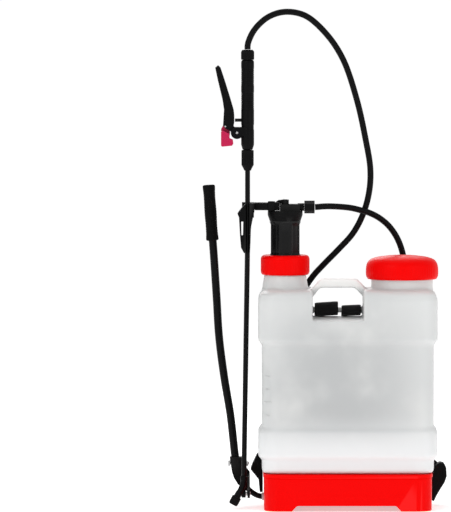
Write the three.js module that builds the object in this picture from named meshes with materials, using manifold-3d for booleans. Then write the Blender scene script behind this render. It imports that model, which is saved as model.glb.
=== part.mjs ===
// Backpack sprayer: a blow-moulded tank on a moulded skirt, with a lever-worked pump, a hose and a spray lance.
// Millimetres, +Z up. +Y is the wearer's side. X and Y start at the middle of the footprint, Z at the floor.
import * as THREE from "three";
import { mergeVertices } from "three/addons/utils/BufferGeometryUtils.js";
import Module from "manifold-3d";

const wasm = await Module();
wasm.setup();

// Driving dimensions
const GAP = 0.3; // between pieces that touch
const THROUGH = 1; // how far a cutting tool runs past the face it cuts
const SKIRT = { halfX: 169.5, halfY: 92.5, height: 74, wall: 4, corner: 35 };
const ARCH = { left: -102, right: 96, rise: 11 };
const TANK = { waistX: 172, waistY: 84, bandX: 179.5, bandY: 90, corner: 34, wall: 3, floor: 74.4, top: 441 };
const LOWER_BAND = [106, 161];
const UPPER_BAND = [337, 432];
const CHANNEL = { left: -71, right: 31, floor: 381 };
const CARRY_BAR = { halfY: 17, under: 443, over: 462 };
const STRAP_BAR = { y: [52, 66], z: [389.5, 400.5] };
const FILLER = { x: 109, neckR: 62, boreR: 57, rim: 494, lidR: 73, lidFoot: 461, lidTop: 509 };
const PUMP = { x: -125.4, neckR: 42, boreR: 37, rim: 488, chamberR: 31, barrelR: 22, rodR: 4 };
const HEAD = { foot: 577.3, flangeR: 35, flangeTop: 597, blockTop: 611, outletZ: 605 };
const SHAFT = { y: 55, z: 19, r: 5.5, bushR: 7.7 };
const CRANK = { radius: 55, restAngle: THREE.MathUtils.degToRad(10) };
const LANCE = { x: -200.8, y: -20, tubeR: 5, gripR: 13 };
const TRIGGER_HUB = { x: -21.2, z: 755 };
const LOCK_PIVOT = { x: -44.5, z: 767.5 };
const VALVE_Z = 780;
const HOSE_R = 6.25;
const LINK_TOP = { x: -200, y: 12, z: 589.4 };
const FOOTPRINT_MIDDLE = { x: -45.2, y: 17 };

// Solids

function solid(geometry) {
  const bare = geometry.index ? geometry.toNonIndexed() : geometry.clone();
  bare.deleteAttribute("normal");
  bare.deleteAttribute("uv");
  const merged = mergeVertices(bare, 1e-4);
  return new wasm.Manifold(
    new wasm.Mesh({
      numProp: 3,
      vertProperties: merged.attributes.position.array,
      triVerts: new Uint32Array(merged.index.array),
    }),
  );
}

function geometryOf(shape) {
  const mesh = shape.getMesh();
  return new THREE.BufferGeometry()
    .setAttribute("position", new THREE.BufferAttribute(mesh.vertProperties, 3))
    .setIndex(new THREE.BufferAttribute(mesh.triVerts, 1));
}

const join = (...shapes) => shapes.reduce((a, b) => a.add(b));
const cut = (body, ...tools) => tools.reduce((a, b) => a.subtract(b), body);

function block(x, y, z) {
  const geometry = new THREE.BoxGeometry(x[1] - x[0], y[1] - y[0], z[1] - z[0]);
  geometry.translate((x[0] + x[1]) / 2, (y[0] + y[1]) / 2, (z[0] + z[1]) / 2);
  return solid(geometry);
}

// A round bar between two points.
function bar(from, to, radius, sides = 16) {
  const a = new THREE.Vector3(...from);
  const b = new THREE.Vector3(...to);
  const geometry = new THREE.CylinderGeometry(radius, radius, a.distanceTo(b), sides);
  const up = new THREE.Vector3(0, 1, 0);
  geometry.applyQuaternion(new THREE.Quaternion().setFromUnitVectors(up, b.clone().sub(a).normalize()));
  geometry.translate(...a.add(b).divideScalar(2).toArray());
  return solid(geometry);
}

// A turned piece about Z, from [radius, height] points up its outside and back down its inside.
function turned(profile, sides = 24) {
  const closed = profile[0][0] === 0 ? profile : [...profile, profile[0]];
  const points = closed.map(([r, z]) => new THREE.Vector2(r, z));
  return solid(new THREE.LatheGeometry(points, sides).rotateX(Math.PI / 2));
}

function outline(points) {
  return new THREE.Shape(points.map(([a, b]) => new THREE.Vector2(a, b)));
}

// A flat piece whose outline stands in X and Z, between two depths.
function prism(shape, y, curveSegments = 6) {
  const geometry = new THREE.ExtrudeGeometry(shape, { depth: y[1] - y[0], bevelEnabled: false, curveSegments });
  return solid(geometry.rotateX(Math.PI / 2).translate(0, y[1], 0));
}

// A flat piece whose outline stands in Y and Z, between two widths.
function sidePrism(shape, x, curveSegments = 6) {
  const geometry = new THREE.ExtrudeGeometry(shape, { depth: x[1] - x[0], bevelEnabled: false, curveSegments });
  const turn = new THREE.Matrix4().makeBasis(
    new THREE.Vector3(0, 1, 0),
    new THREE.Vector3(0, 0, 1),
    new THREE.Vector3(1, 0, 0),
  );
  return solid(geometry.applyMatrix4(turn).translate(x[0], 0, 0));
}

// A rounded rectangle seen from above, with eased upper and lower edges.
function slab(halfX, halfY, corner, z, ease = 0) {
  const shape = new THREE.Shape();
  shape.moveTo(-halfX + corner, -halfY);
  shape.lineTo(halfX - corner, -halfY);
  shape.absarc(halfX - corner, -halfY + corner, corner, -Math.PI / 2, 0);
  shape.lineTo(halfX, halfY - corner);
  shape.absarc(halfX - corner, halfY - corner, corner, 0, Math.PI / 2);
  shape.lineTo(-halfX + corner, halfY);
  shape.absarc(-halfX + corner, halfY - corner, corner, Math.PI / 2, Math.PI);
  shape.lineTo(-halfX, -halfY + corner);
  shape.absarc(-halfX + corner, -halfY + corner, corner, Math.PI, Math.PI * 1.5);
  const geometry = new THREE.ExtrudeGeometry(shape, {
    depth: z[1] - z[0] - 2 * ease,
    curveSegments: 2,
    bevelEnabled: ease > 0,
    bevelThickness: ease,
    bevelSize: ease,
    bevelOffset: -ease,
    bevelSegments: 2,
  });
  return solid(geometry.translate(0, 0, z[0] + ease));
}

// A round tube or rod swept along a smooth curve through points.
function swept(points, radius, steps, sides = 12) {
  const curve = new THREE.CatmullRomCurve3(points.map((p) => new THREE.Vector3(...p)), false, "centripetal");
  const section = new THREE.Shape().absarc(0, 0, radius, 0, Math.PI * 2);
  return solid(
    new THREE.ExtrudeGeometry(section, { steps, extrudePath: curve, bevelEnabled: false, curveSegments: sides / 2 }),
  );
}

// Finishes

const finish = (color, roughness, metalness = 0, extra = {}) =>
  new THREE.MeshStandardMaterial({ color, roughness, metalness, ...extra });
const milkyPlastic = () => finish(0xdfe3e1, 0.45, 0, { transparent: true, opacity: 0.8 });
const redPlastic = () => finish(0xe8100c, 0.35);
const blackPlastic = () => finish(0x0e0e0f, 0.45);
const lockPlastic = () => finish(0xc01548, 0.4);
const rubber = () => finish(0x151515, 0.8);
const blackTube = () => finish(0x101011, 0.35, 0.3);
const steel = () => finish(0x9a9b9c, 0.3, 1);
const brass = () => finish(0xb08d3e, 0.35, 1);
const webbing = () => finish(0x111113, 0.9);
const padCloth = () => finish(0x161618, 0.95);
const greyPlastic = () => finish(0xb9bcbd, 0.5);

const sprayer = new THREE.Group();

function assembly(x, y = 0, z = 0, parent = sprayer) {
  const group = new THREE.Group();
  group.position.set(x, y, z);
  parent.add(group);
  return group;
}

function add(group, name, shape, material) {
  const mesh = new THREE.Mesh(geometryOf(shape), material);
  mesh.name = name;
  group.add(mesh);
}

// Tank: a thin shell with two wide bands, a hand channel from front to back, and two necks

function tankCavity() {
  const w = TANK.wall;
  const inset = (band) => [band[0] + w + 1, band[1] - w - 1];
  return cut(
    join(
      slab(TANK.waistX - w, TANK.waistY - w, TANK.corner - w, [TANK.floor + w, 434], 3),
      slab(TANK.bandX - w, TANK.bandY - w, TANK.corner - 1, inset(LOWER_BAND), 4),
      slab(TANK.bandX - w, TANK.bandY - w, TANK.corner - 1, inset(UPPER_BAND), 5),
      slab(162, 74, 28, [424, TANK.top - w], 4),
    ),
    block([CHANNEL.left - w, CHANNEL.right + w], [-100, 100], [CHANNEL.floor - w, 500]),
  );
}

function carryBar() {
  const outside = [[-84, 426], [-84, 436], [-72, 442], [-54, CARRY_BAR.over], [18, CARRY_BAR.over], [37, 442]];
  const inside = [[46, 436], [46, 426], [31, 426], [14, CARRY_BAR.under], [-56, CARRY_BAR.under], [-69, 426]];
  return prism(outline([...outside, ...inside]), [-CARRY_BAR.halfY, CARRY_BAR.halfY]);
}

function tank() {
  const pumpNeck = turned([[0, 430], [48, 430], [46, 441], [PUMP.neckR, 468.5], [40, 469], [40, PUMP.rim], [0, PUMP.rim]]);
  const fillerNeck = turned([[0, 430], [FILLER.neckR, 430], [FILLER.neckR, FILLER.rim], [0, FILLER.rim]], 32);
  const pumpBore = turned([[0, 425], [PUMP.boreR, 425], [PUMP.boreR, 500], [0, 500]]);
  const fillerBore = turned([[0, 425], [FILLER.boreR, 425], [FILLER.boreR, 500], [0, 500]], 32);
  const body = join(
    slab(TANK.waistX, TANK.waistY, TANK.corner, [TANK.floor, 437], 4),
    slab(TANK.bandX, TANK.bandY, TANK.corner + 2, LOWER_BAND, 5),
    slab(TANK.bandX, TANK.bandY, TANK.corner + 2, UPPER_BAND, 6),
    slab(166, 78, 32, [425, TANK.top], 6),
    pumpNeck.translate(PUMP.x, 0, 0),
    fillerNeck.translate(FILLER.x, 0, 0),
  );
  const shell = cut(
    body,
    tankCavity(),
    pumpBore.translate(PUMP.x, 0, 0),
    fillerBore.translate(FILLER.x, 0, 0),
    block([CHANNEL.left, CHANNEL.right], [-100, 100], [CHANNEL.floor, 500]),
  );
  const strapBar = block([CHANNEL.left - THROUGH, CHANNEL.right + THROUGH], STRAP_BAR.y, STRAP_BAR.z);
  return join(shell, carryBar(), strapBar);
}

add(sprayer, "tank", tank(), milkyPlastic());

// Base: a skirt with a closed deck, an arch in front and behind, and two bearings for the drive shaft

function base() {
  const w = SKIRT.wall;
  const shell = join(
    slab(SKIRT.halfX - 1.5, SKIRT.halfY - 1.5, SKIRT.corner - 1, [0, 67], 3),
    slab(SKIRT.halfX, SKIRT.halfY, SKIRT.corner, [66, SKIRT.height], 1.5),
  );
  const arch = outline([
    [ARCH.left - ARCH.rise - 2, -2],
    [ARCH.left, ARCH.rise],
    [ARCH.right, ARCH.rise],
    [ARCH.right + ARCH.rise + 2, -2],
  ]);
  const hollow = slab(SKIRT.halfX - 1.5 - w, SKIRT.halfY - 1.5 - w, SKIRT.corner - w, [w, SKIRT.height - w]);
  const bearing = block([24, 34], [SHAFT.y - 14, SHAFT.y + 14], [8, SKIRT.height - 3]);
  const shaftHole = bar([-175, SHAFT.y, SHAFT.z], [40, SHAFT.y, SHAFT.z], SHAFT.bushR + GAP);
  return cut(join(cut(shell, hollow), bearing), prism(arch, [-100, 100]), shaftHole);
}

add(sprayer, "base", base(), redPlastic());
for (const [side, x] of [["left", [-172, -161]], ["right", [22, 36]]]) {
  const sleeve = cut(
    bar([x[0], SHAFT.y, SHAFT.z], [x[1], SHAFT.y, SHAFT.z], SHAFT.bushR),
    bar([x[0] - THROUGH, SHAFT.y, SHAFT.z], [x[1] + THROUGH, SHAFT.y, SHAFT.z], SHAFT.r + 0.5),
  );
  add(sprayer, "shaft_bush_" + side, sleeve, greyPlastic());
}

// Filler: a strainer basket hangs in the neck under a screw lid with its gasket

const filler = assembly(FILLER.x);
const basketRim = FILLER.rim + GAP;
const gasketFoot = basketRim + 2;
add(
  filler,
  "filler_strainer",
  turned([[0, 430], [50, 430], [54.5, basketRim], [61, basketRim], [61, basketRim + 1.7], [52.5, basketRim + 1.7], [48, 432], [0, 432]]),
  blackPlastic(),
);
add(filler, "lid_gasket", turned([[54, gasketFoot], [61, gasketFoot], [61, 499.7], [54, 499.7]], 24), rubber());
add(
  filler,
  "lid",
  turned(
    [
      [0, 500],
      [FILLER.neckR - 0.6, 500],
      [FILLER.neckR + 1.5, 496.5],
      [FILLER.neckR + 1.5, FILLER.lidFoot],
      [69, FILLER.lidFoot],
      [72, 465],
      [FILLER.lidR, 473],
      [72.4, 485],
      [70.5, 493],
      [64.5, 500.5],
      [50, 505.2],
      [26, 508.2],
      [0, FILLER.lidTop],
    ],
    36,
  ),
  redPlastic(),
);

// Pump: a barrel in the tank below a pressure chamber that stands out of the neck, with its head on top

const pump = assembly(PUMP.x);
add(pump, "pump_barrel", turned([[6, 92], [PUMP.barrelR, 92], [PUMP.barrelR, 300], [19, 300], [19, 96], [6, 96]]), greyPlastic());
add(pump, "foot_valve", turned([[5, 79], [18, 79], [18, 91.7], [5, 91.7]], 24), blackPlastic());
const ball = new THREE.SphereGeometry(7.5, 16, 10).translate(0, 0, 100.9);
add(pump, "foot_valve_ball", solid(ball), steel());
const flangeFoot = PUMP.rim + 3.6;
add(
  pump,
  "pressure_chamber",
  turned([
    [8, 300.3],
    [PUMP.chamberR, 300.3],
    [PUMP.chamberR, flangeFoot],
    [40, flangeFoot],
    [40, flangeFoot + 5],
    [PUMP.chamberR, flangeFoot + 5],
    [PUMP.chamberR, 577],
    [28, 577],
    [28, 305],
    [8, 305],
  ]),
  blackPlastic(),
);
add(pump, "neck_gasket", turned([[37.5, PUMP.rim + GAP], [40, PUMP.rim + GAP], [40, flangeFoot - GAP], [37.5, flangeFoot - GAP]]), rubber());
add(
  pump,
  "ring_nut",
  turned(
    [
      [42.8, 469.3],
      [46, 469.3],
      [49, 474],
      [49, 503],
      [45, 509],
      [PUMP.chamberR + 0.9, 509],
      [PUMP.chamberR + 0.9, 498],
      [42.8, 498],
    ],
    32,
  ),
  redPlastic(),
);

function chamberHead() {
  const flange = turned([[0, HEAD.foot], [31, HEAD.foot], [HEAD.flangeR, 589], [HEAD.flangeR, HEAD.flangeTop], [0, HEAD.flangeTop]]);
  const raised = block([-10.6, 29.4], [-14, 14], [HEAD.flangeTop - 1, HEAD.blockTop]);
  const outlet = bar([25, 0, HEAD.outletZ], [38.1, 0, HEAD.outletZ], 7.8);
  const rodBore = bar([0, 0, 570], [0, 0, 620], PUMP.rodR + 0.6);
  const riser = bar([14.3, 0, 570], [14.3, 0, HEAD.outletZ - 0.9], 3.9, 12);
  const crossPassage = bar([9.5, 0, HEAD.outletZ - 0.4], [40, 0, HEAD.outletZ - 0.4], 3.3, 10);
  return cut(join(flange, raised, outlet), rodBore, riser, crossPassage);
}

add(pump, "chamber_head", chamberHead(), blackPlastic());
const hoseNut = cut(
  bar([38.4, 0, HEAD.outletZ], [59.1, 0, HEAD.outletZ], 13, 6),
  bar([38, 0, HEAD.outletZ], [60, 0, HEAD.outletZ], 4, 12),
);
add(pump, "hose_nut", hoseNut, blackPlastic());

// Piston: the rod comes up through the head to a crosshead, whose fork hangs on the left

add(pump, "piston_rod", bar([0, 0, 138], [0, 0, 621], PUMP.rodR), steel());
add(
  pump,
  "piston",
  turned([[4.4, 140], [18.3, 140], [18.3, 145.7], [16.9, 145.7], [16.9, 152.3], [18.3, 152.3], [18.3, 158], [4.4, 158]]),
  brass(),
);
add(pump, "piston_seal", turned([[17.2, 146], [18.8, 146], [18.8, 152], [17.2, 152]]), rubber());

const FORK = { x: [-212, -188], slotX: [-204.5, -195.5], y: [1.5, 24.5], z: [583.5, 614] };

function crosshead() {
  const hub = bar([PUMP.x, 0, HEAD.blockTop + GAP], [PUMP.x, 0, 620], 7.5);
  const top = outline([[-120, 612], [-120, 619], [-138, 619], [-146, 614], [-193, 614], [-193, 600], [-137, 600], [-137, 611.5]]);
  const arm = prism(top, [3, 14]);
  const fork = cut(block(FORK.x, FORK.y, FORK.z), block(FORK.slotX, [0, 26], [573, 606]));
  const pinHole = bar([-220, LINK_TOP.y, LINK_TOP.z], [-180, LINK_TOP.y, LINK_TOP.z], 3.3, 12);
  const rodHole = bar([PUMP.x, 0, 605], [PUMP.x, 0, 630], PUMP.rodR + GAP);
  return cut(join(hub, arm, fork), pinHole, rodHole);
}

add(sprayer, "crosshead", crosshead(), blackPlastic());
add(
  sprayer,
  "crosshead_pin",
  bar([FORK.x[0] + 1, LINK_TOP.y, LINK_TOP.z], [FORK.x[1] - 1, LINK_TOP.y, LINK_TOP.z], 3, 12),
  steel(),
);

// Lever: a bent shaft turns in the base and carries a socket, the hand lever and the crank

const CRANK_PIN = {
  x: -208.5,
  y: SHAFT.y - CRANK.radius * Math.cos(CRANK.restAngle),
  z: SHAFT.z + CRANK.radius * Math.sin(CRANK.restAngle),
};

function driveShaft(radius) {
  const y = SHAFT.y;
  const z = SHAFT.z;
  const straight = [[40, y, z], [-40, y, z], [-120, y, z], [-160, y, z]];
  const bend = [[-172, y, z], [-181, y, 21], [-192, y, 27.5], [-203, y, 38], [-209, y, 52], [-214, y, 70]];
  return swept([...straight, ...bend], radius, 30);
}

function leverTube(radius, past = 0, sides = 12) {
  const route = [
    [-221.5, 79 - past],
    [-225.7, 101],
    [-230.1, 141],
    [-235.4, 186],
    [-247.8, 261],
    [-257.9, 341],
    [-262.9, 421],
    [-268.7, 509],
    [-273, 565],
    [-278, 641 + past],
  ];
  return swept(route.map(([x, z]) => [x, SHAFT.y, z]), radius, 22, sides);
}

const BOLT_Z = 86;
const boltHole = bar([-245, SHAFT.y, BOLT_Z], [-195, SHAFT.y, BOLT_Z], 3, 12);
const crankPinHole = bar([CRANK_PIN.x - 20, CRANK_PIN.y, CRANK_PIN.z], [CRANK_PIN.x + 20, CRANK_PIN.y, CRANK_PIN.z], 4.3);

function leverSocket() {
  const left = [[-211, 38], [-220, 44], [-228, 57], [-232, 69], [-235, 88], [-236.5, 99]];
  const right = [[-203.5, 99], [-203.5, 78], [-196, 68], [-196, 50], [-201, 42]];
  const body = prism(outline([...left, ...right]), [SHAFT.y - 13, SHAFT.y + 13]);
  return cut(body, driveShaft(SHAFT.r + GAP), bar([-221, SHAFT.y, 77], [-227, SHAFT.y, 108], 8.4), boltHole);
}

const CRANK_ARM_X = [-200.9, -195.9];

function crankArm() {
  const eye = bar([CRANK_ARM_X[0], CRANK_PIN.y, CRANK_PIN.z], [CRANK_ARM_X[1], CRANK_PIN.y, CRANK_PIN.z], 9);
  const root = SHAFT.y - 13 - GAP;
  const web = outline([[root, 47], [root, 66], [CRANK_PIN.y - 2, CRANK_PIN.z + 8.5], [CRANK_PIN.y + 2, CRANK_PIN.z - 8.5]]);
  return cut(join(eye, sidePrism(web, CRANK_ARM_X)), crankPinHole);
}

add(sprayer, "drive_shaft", driveShaft(SHAFT.r), blackTube());
add(sprayer, "lever_socket", leverSocket(), blackPlastic());
add(sprayer, "lever_tube", cut(leverTube(8), leverTube(6.8, THROUGH, 8), boltHole), blackTube());
const gripEnds = [[-271.2, SHAFT.y, 535], [-278.8, SHAFT.y, 647]];
add(sprayer, "lever_grip", cut(bar(...gripEnds, 12.7, 24), leverTube(8.6)), rubber());
const boltHead = bar([-240, SHAFT.y, BOLT_Z], [-235.6, SHAFT.y, BOLT_Z], 6, 6);
add(sprayer, "lever_bolt", join(boltHead, bar([-236, SHAFT.y, BOLT_Z], [-197.5, SHAFT.y, BOLT_Z], 2.6, 12)), steel());
const nutHole = bar([-205, SHAFT.y, BOLT_Z], [-190, SHAFT.y, BOLT_Z], 2.9, 12);
add(sprayer, "lever_nut", cut(bar([-203.2, SHAFT.y, BOLT_Z], [-198.8, SHAFT.y, BOLT_Z], 5.5, 6), nutHole), steel());
add(sprayer, "crank_arm", crankArm(), blackTube());
const pinHead = bar([-217, CRANK_PIN.y, CRANK_PIN.z], [-213.2, CRANK_PIN.y, CRANK_PIN.z], 6);
const pinShank = bar([-214, CRANK_PIN.y, CRANK_PIN.z], [-194.9, CRANK_PIN.y, CRANK_PIN.z], 4);
add(sprayer, "crank_pin", join(pinHead, pinShank), steel());

// Link: a rod from the crank pin to the crosshead, with an eye at each end

const LINK_FOOT = [CRANK_PIN.x, CRANK_PIN.y, CRANK_PIN.z];
const LINK_EYE = [LINK_TOP.x, LINK_TOP.y + 2, LINK_TOP.z - 1.4];
const linkPoint = (t) => LINK_FOOT.map((a, i) => a + (LINK_EYE[i] - a) * t);

// An eye across the rod, with a socket that the rod end sits in; the spans are shares of the link's length.
function linkEnd(centre, halfWidth, radius, hole, socketSpan, rodSpan) {
  const [x, y, z] = centre;
  const eye = bar([x - halfWidth, y, z], [x + halfWidth, y, z], radius, 20);
  const socket = bar(...socketSpan.map(linkPoint), 7);
  const bore = bar([x - 20, y, z], [x + 20, y, z], hole, 20);
  return cut(join(eye, socket), bore, bar(...rodSpan.map(linkPoint), 5.6));
}

const lowerEye = linkEnd(LINK_FOOT, 4.2, 8, 4.6, [0.0125, 0.055], [0.028, 0.1]);
const upperEye = linkEnd(LINK_EYE, 3.6, 9.5, 6.6, [0.952, 0.984], [0.9, 0.972]);
add(sprayer, "link_lower_eye", lowerEye, blackPlastic());
add(sprayer, "link_upper_eye", upperEye, blackPlastic());
const linkBore = bar(linkPoint(0.02), linkPoint(0.98), 4, 12);
add(sprayer, "link_rod", cut(bar(linkPoint(0.029), linkPoint(0.971), 5.2, 12), linkBore), blackTube());

// Lance bracket: a moulded arm on the head holds the clip that the lance stands in

const bracket = join(
  block([-186.7, PUMP.x - 10.9], [-14, -1], [599, 614]),
  block([-160, -146], [-15, 0.5], [597.3, 617]),
);
add(sprayer, "lance_bracket", bracket, blackPlastic());

function lanceClip() {
  const left = [[-218, 597.5], [-221, 593], [-218, 585], [-216, 549], [-214, 525], [-208, 514]];
  const right = [[-196, 514], [-195, 533], [-194, 565], [-190, 585], [-187, 597.5], [-187, 614], [-200, 614], [-208, 610]];
  const body = prism(outline([...left, ...right]), [-31, -2]);
  const bore = bar([LANCE.x - 0.3, LANCE.y, 500], [LANCE.x, LANCE.y, 625], LANCE.tubeR + 0.9);
  const mouth = block([LANCE.x - 3.8, LANCE.x + 3.8], [-40, LANCE.y], [500, 625]);
  const window = prism(outline([[-213, 549], [-210, 549], [-209.5, 577], [-213.5, 577]]), [-40, 0]);
  return cut(body, bore, mouth, window);
}

add(sprayer, "lance_clip", lanceClip(), blackPlastic());

// Lance: spray handle with its valve and trigger, the tube below it, and the nozzle

const lance = assembly(LANCE.x, LANCE.y);

function handleBody() {
  const barrel = turned([[0, 720.6], [10, 720.6], [LANCE.gripR, 733], [LANCE.gripR, 895], [12, 900.6], [0, 900.6]], 24);
  const ear = (y) =>
    join(
      bar([TRIGGER_HUB.x, y[0], TRIGGER_HUB.z], [TRIGGER_HUB.x, y[1], TRIGGER_HUB.z], 12.5, 20),
      block([TRIGGER_HUB.x, 0], y, [744, 764]),
    );
  const pinHole = bar([TRIGGER_HUB.x, -20, TRIGGER_HUB.z], [TRIGGER_HUB.x, 20, TRIGGER_HUB.z], 2.8, 12);
  return cut(
    join(barrel, ear([8.9, 13.5]), ear([-13.5, -8.9])),
    bar([0, 0, 700], [0, 0, 910], 5),
    bar([-15, 0, VALVE_Z], [9.5, 0, VALVE_Z], 3.8),
    pinHole,
  );
}

function trigger() {
  const outer = [[-59, 890], [-64.8, 885], [-59.8, 861], [-50.2, 821], [-47.2, 801], [-48.2, 785], [-49.2, 769]];
  const lower = [[-44, 763], [-30, 755], [-25, 749]];
  const inner = [[-20, 761.5], [-28, 768], [-26.6, 776], [-26.6, 790], [-27.8, 801], [-33.6, 821], [-46, 861], [-54, 885]];
  const lever = prism(outline([...outer, ...lower, ...inner]), [-8, 8]);
  const hub = bar([TRIGGER_HUB.x, -8, TRIGGER_HUB.z], [TRIGGER_HUB.x, 8, TRIGGER_HUB.z], 7, 20);
  return cut(
    join(lever, hub),
    bar([TRIGGER_HUB.x, -20, TRIGGER_HUB.z], [TRIGGER_HUB.x, 20, TRIGGER_HUB.z], 2.8, 12),
    bar([LOCK_PIVOT.x, -20, LOCK_PIVOT.z], [LOCK_PIVOT.x, 20, LOCK_PIVOT.z], 2.1, 12),
  );
}

function triggerLock() {
  const toe = [[-31, 729], [-28.5, 733], [-29.5, 741], [-36, 744]];
  const body = outline([[-53.2, 729], [-51, 727], ...toe, [-36, 752.5], [-49, 759], [-53.2, 757]]);
  const cheek = outline([[-53, 740], [-37, 740], [-35, 755], [-38, 768], [-42, 771.5], [-48, 771], [-53, 762]]);
  return cut(
    join(prism(body, [-8, 8]), prism(cheek, [8.3, 11]), block([-50, -38], [0, 9], [741, 750])),
    bar([LOCK_PIVOT.x, -20, LOCK_PIVOT.z], [LOCK_PIVOT.x, 20, LOCK_PIVOT.z], 2.1, 12),
  );
}

add(lance, "handle_body", handleBody(), blackPlastic());
add(lance, "handle_top_nut", turned([[4, 900.9], [13.2, 900.9], [13.2, 917], [11, 921], [4, 921]], 20), blackPlastic());
add(lance, "handle_lower_nut", turned([[5.4, 679], [6.5, 679], [12.3, 689], [12.3, 720.3], [5.4, 720.3]], 20), blackPlastic());
add(lance, "trigger", trigger(), blackPlastic());
add(lance, "trigger_pin", bar([TRIGGER_HUB.x, -14.5, TRIGGER_HUB.z], [TRIGGER_HUB.x, 14.5, TRIGGER_HUB.z], 2.5, 12), steel());
add(lance, "trigger_lock", triggerLock(), lockPlastic());
add(lance, "lock_pin", bar([LOCK_PIVOT.x, -8.6, LOCK_PIVOT.z], [LOCK_PIVOT.x, 11.5, LOCK_PIVOT.z], 1.8, 12), steel());
add(lance, "valve_pin", bar([-25.4, 0, VALVE_Z], [-6, 0, VALVE_Z], 3.3), blackPlastic());

// The tube bows a little towards its foot; a bore runs past both of its ends.
function lanceTube(radius, past) {
  const upper = [[0, 715 + past], [0, 640], [0, 560], [-0.3, 500]];
  const lower = [[-2.2, 380], [-4.4, 250], [-6, 150], [-7.2, 66 - past]];
  return swept([...upper, ...lower].map(([x, z]) => [x, 0, z]), radius, 14, 10);
}

add(lance, "lance_tube", cut(lanceTube(LANCE.tubeR, 0), lanceTube(3.6, THROUGH)), blackTube());

const NOZZLE_TILT = THREE.MathUtils.degToRad(28);
const NOZZLE_AT = [-21.2, 24];
const elbowRoute = [[-7.2, 65.2], [-8.6, 52], [-13, 39], NOZZLE_AT];
const elbowEnd = [-24, 19];
add(lance, "nozzle_elbow", swept([...elbowRoute, elbowEnd].map(([x, z]) => [x, 0, z]), 7, 10), blackPlastic());
const nozzle = assembly(NOZZLE_AT[0], 0, NOZZLE_AT[1], lance);
nozzle.rotation.y = NOZZLE_TILT;
add(nozzle, "nozzle_disc", turned([[0.8, -14.6], [7.2, -14.6], [7.2, -11.5], [0.8, -11.5]], 16), brass());
add(
  nozzle,
  "nozzle_cap",
  turned([[2.5, -18], [8, -18], [9.5, -16], [9.5, 0], [7.6, 0], [7.6, -15], [2.5, -15]], 20),
  blackPlastic(),
);

// Hose: from the head round behind the lid and the tank, then up and over into the spray handle

const hoseRoute = [
  [-65.5, 0, 605],
  [-60, 0.2, 605.2],
  [-50, 2.5, 606],
  [-34, 9, 606],
  [4, 35, 602],
  [24, 49, 597],
  [44, 62, 590.5],
  [64, 73, 580],
  [84, 82, 563],
  [101, 89, 538],
  [112, 94, 508],
  [118, 98, 470],
  [119, 99, 430],
  [114, 99, 385],
  [98, 99, 345],
  [70, 99, 316],
  [30, 99, 302],
  [-10, 99, 304],
  [-48, 99, 320],
  [-76, 99, 352],
  [-91, 99, 395],
  [-86, 99, 432],
  [-70, 98, 459],
  [-44, 93, 488],
  [-16, 86, 517],
  [12, 77, 549],
  [32, 67, 588],
  [44, 56, 634],
  [46, 47, 680],
  [36, 36, 741],
  [18, 25, 821],
  [-10, 13, 902],
  [-44, 3, 953],
  [-86, -7, 989],
  [-126, -13, 996.5],
  [-160, -17, 986],
  [-187, -19.5, 961],
  [-199, -20, 937],
  [-200.8, -20, 928],
  [-200.8, -20, 921.6],
];
add(sprayer, "hose", swept(hoseRoute, HOSE_R, 78, 8), blackTube());

// Shoulder straps: a loop round the moulded bar, a pad down the tank's back, and webbing to a hook on the base

const STRAPS = [
  { side: "left", loopX: [-67, -17], loopFoot: 384, loopTop: 411, lean: -1 },
  { side: "right", loopX: [-13, 29], loopFoot: 385, loopTop: 405, lean: 1 },
];

function strapLoop({ loopX, loopFoot, loopTop }) {
  const ring = new THREE.Shape();
  ring.moveTo(48, loopFoot);
  ring.lineTo(70, loopFoot);
  ring.lineTo(74, loopFoot + 5);
  ring.lineTo(74, 394);
  ring.lineTo(100, 394);
  ring.lineTo(101, 380);
  ring.lineTo(105, 380);
  ring.lineTo(105, 398);
  ring.lineTo(74, 399);
  ring.lineTo(74, loopTop - 5);
  ring.lineTo(70, loopTop);
  ring.lineTo(48, loopTop);
  ring.lineTo(44, loopTop - 5);
  ring.lineTo(44, loopFoot + 5);
  const eye = new THREE.Path();
  eye.moveTo(STRAP_BAR.y[0] - 1, STRAP_BAR.z[0] - 1);
  eye.lineTo(STRAP_BAR.y[0] - 1, STRAP_BAR.z[1] + 1);
  eye.lineTo(STRAP_BAR.y[1] + 1, STRAP_BAR.z[1] + 1);
  eye.lineTo(STRAP_BAR.y[1] + 1, STRAP_BAR.z[0] - 1);
  ring.holes.push(eye);
  return sidePrism(ring, loopX);
}

function shoulderPad({ loopX, lean }) {
  const inner = [[102, 379], [110, 340], [113, 290], [110, 225], [103, 165]];
  const outer = [[115, 165], [123, 225], [127, 290], [124, 340], [114, 379]];
  const side = new THREE.Shape();
  side.moveTo(...inner[0]);
  side.splineThru(inner.slice(1).map((p) => new THREE.Vector2(...p)));
  side.lineTo(...outer[0]);
  side.splineThru(outer.slice(1).map((p) => new THREE.Vector2(...p)));
  const middle = (loopX[0] + loopX[1]) / 2;
  const spread = new THREE.Matrix4().makeShear(0, 0, 0, 0, -0.36 * lean, 0);
  const pad = geometryOf(sidePrism(side, [middle - 23.5, middle + 23.5], 3)).translate(0, 0, -379);
  return solid(pad.applyMatrix4(spread).translate(0, 0, 379));
}

const WEBBING = { top: 164, foot: 70, buckleZ: 131.5 };

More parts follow.
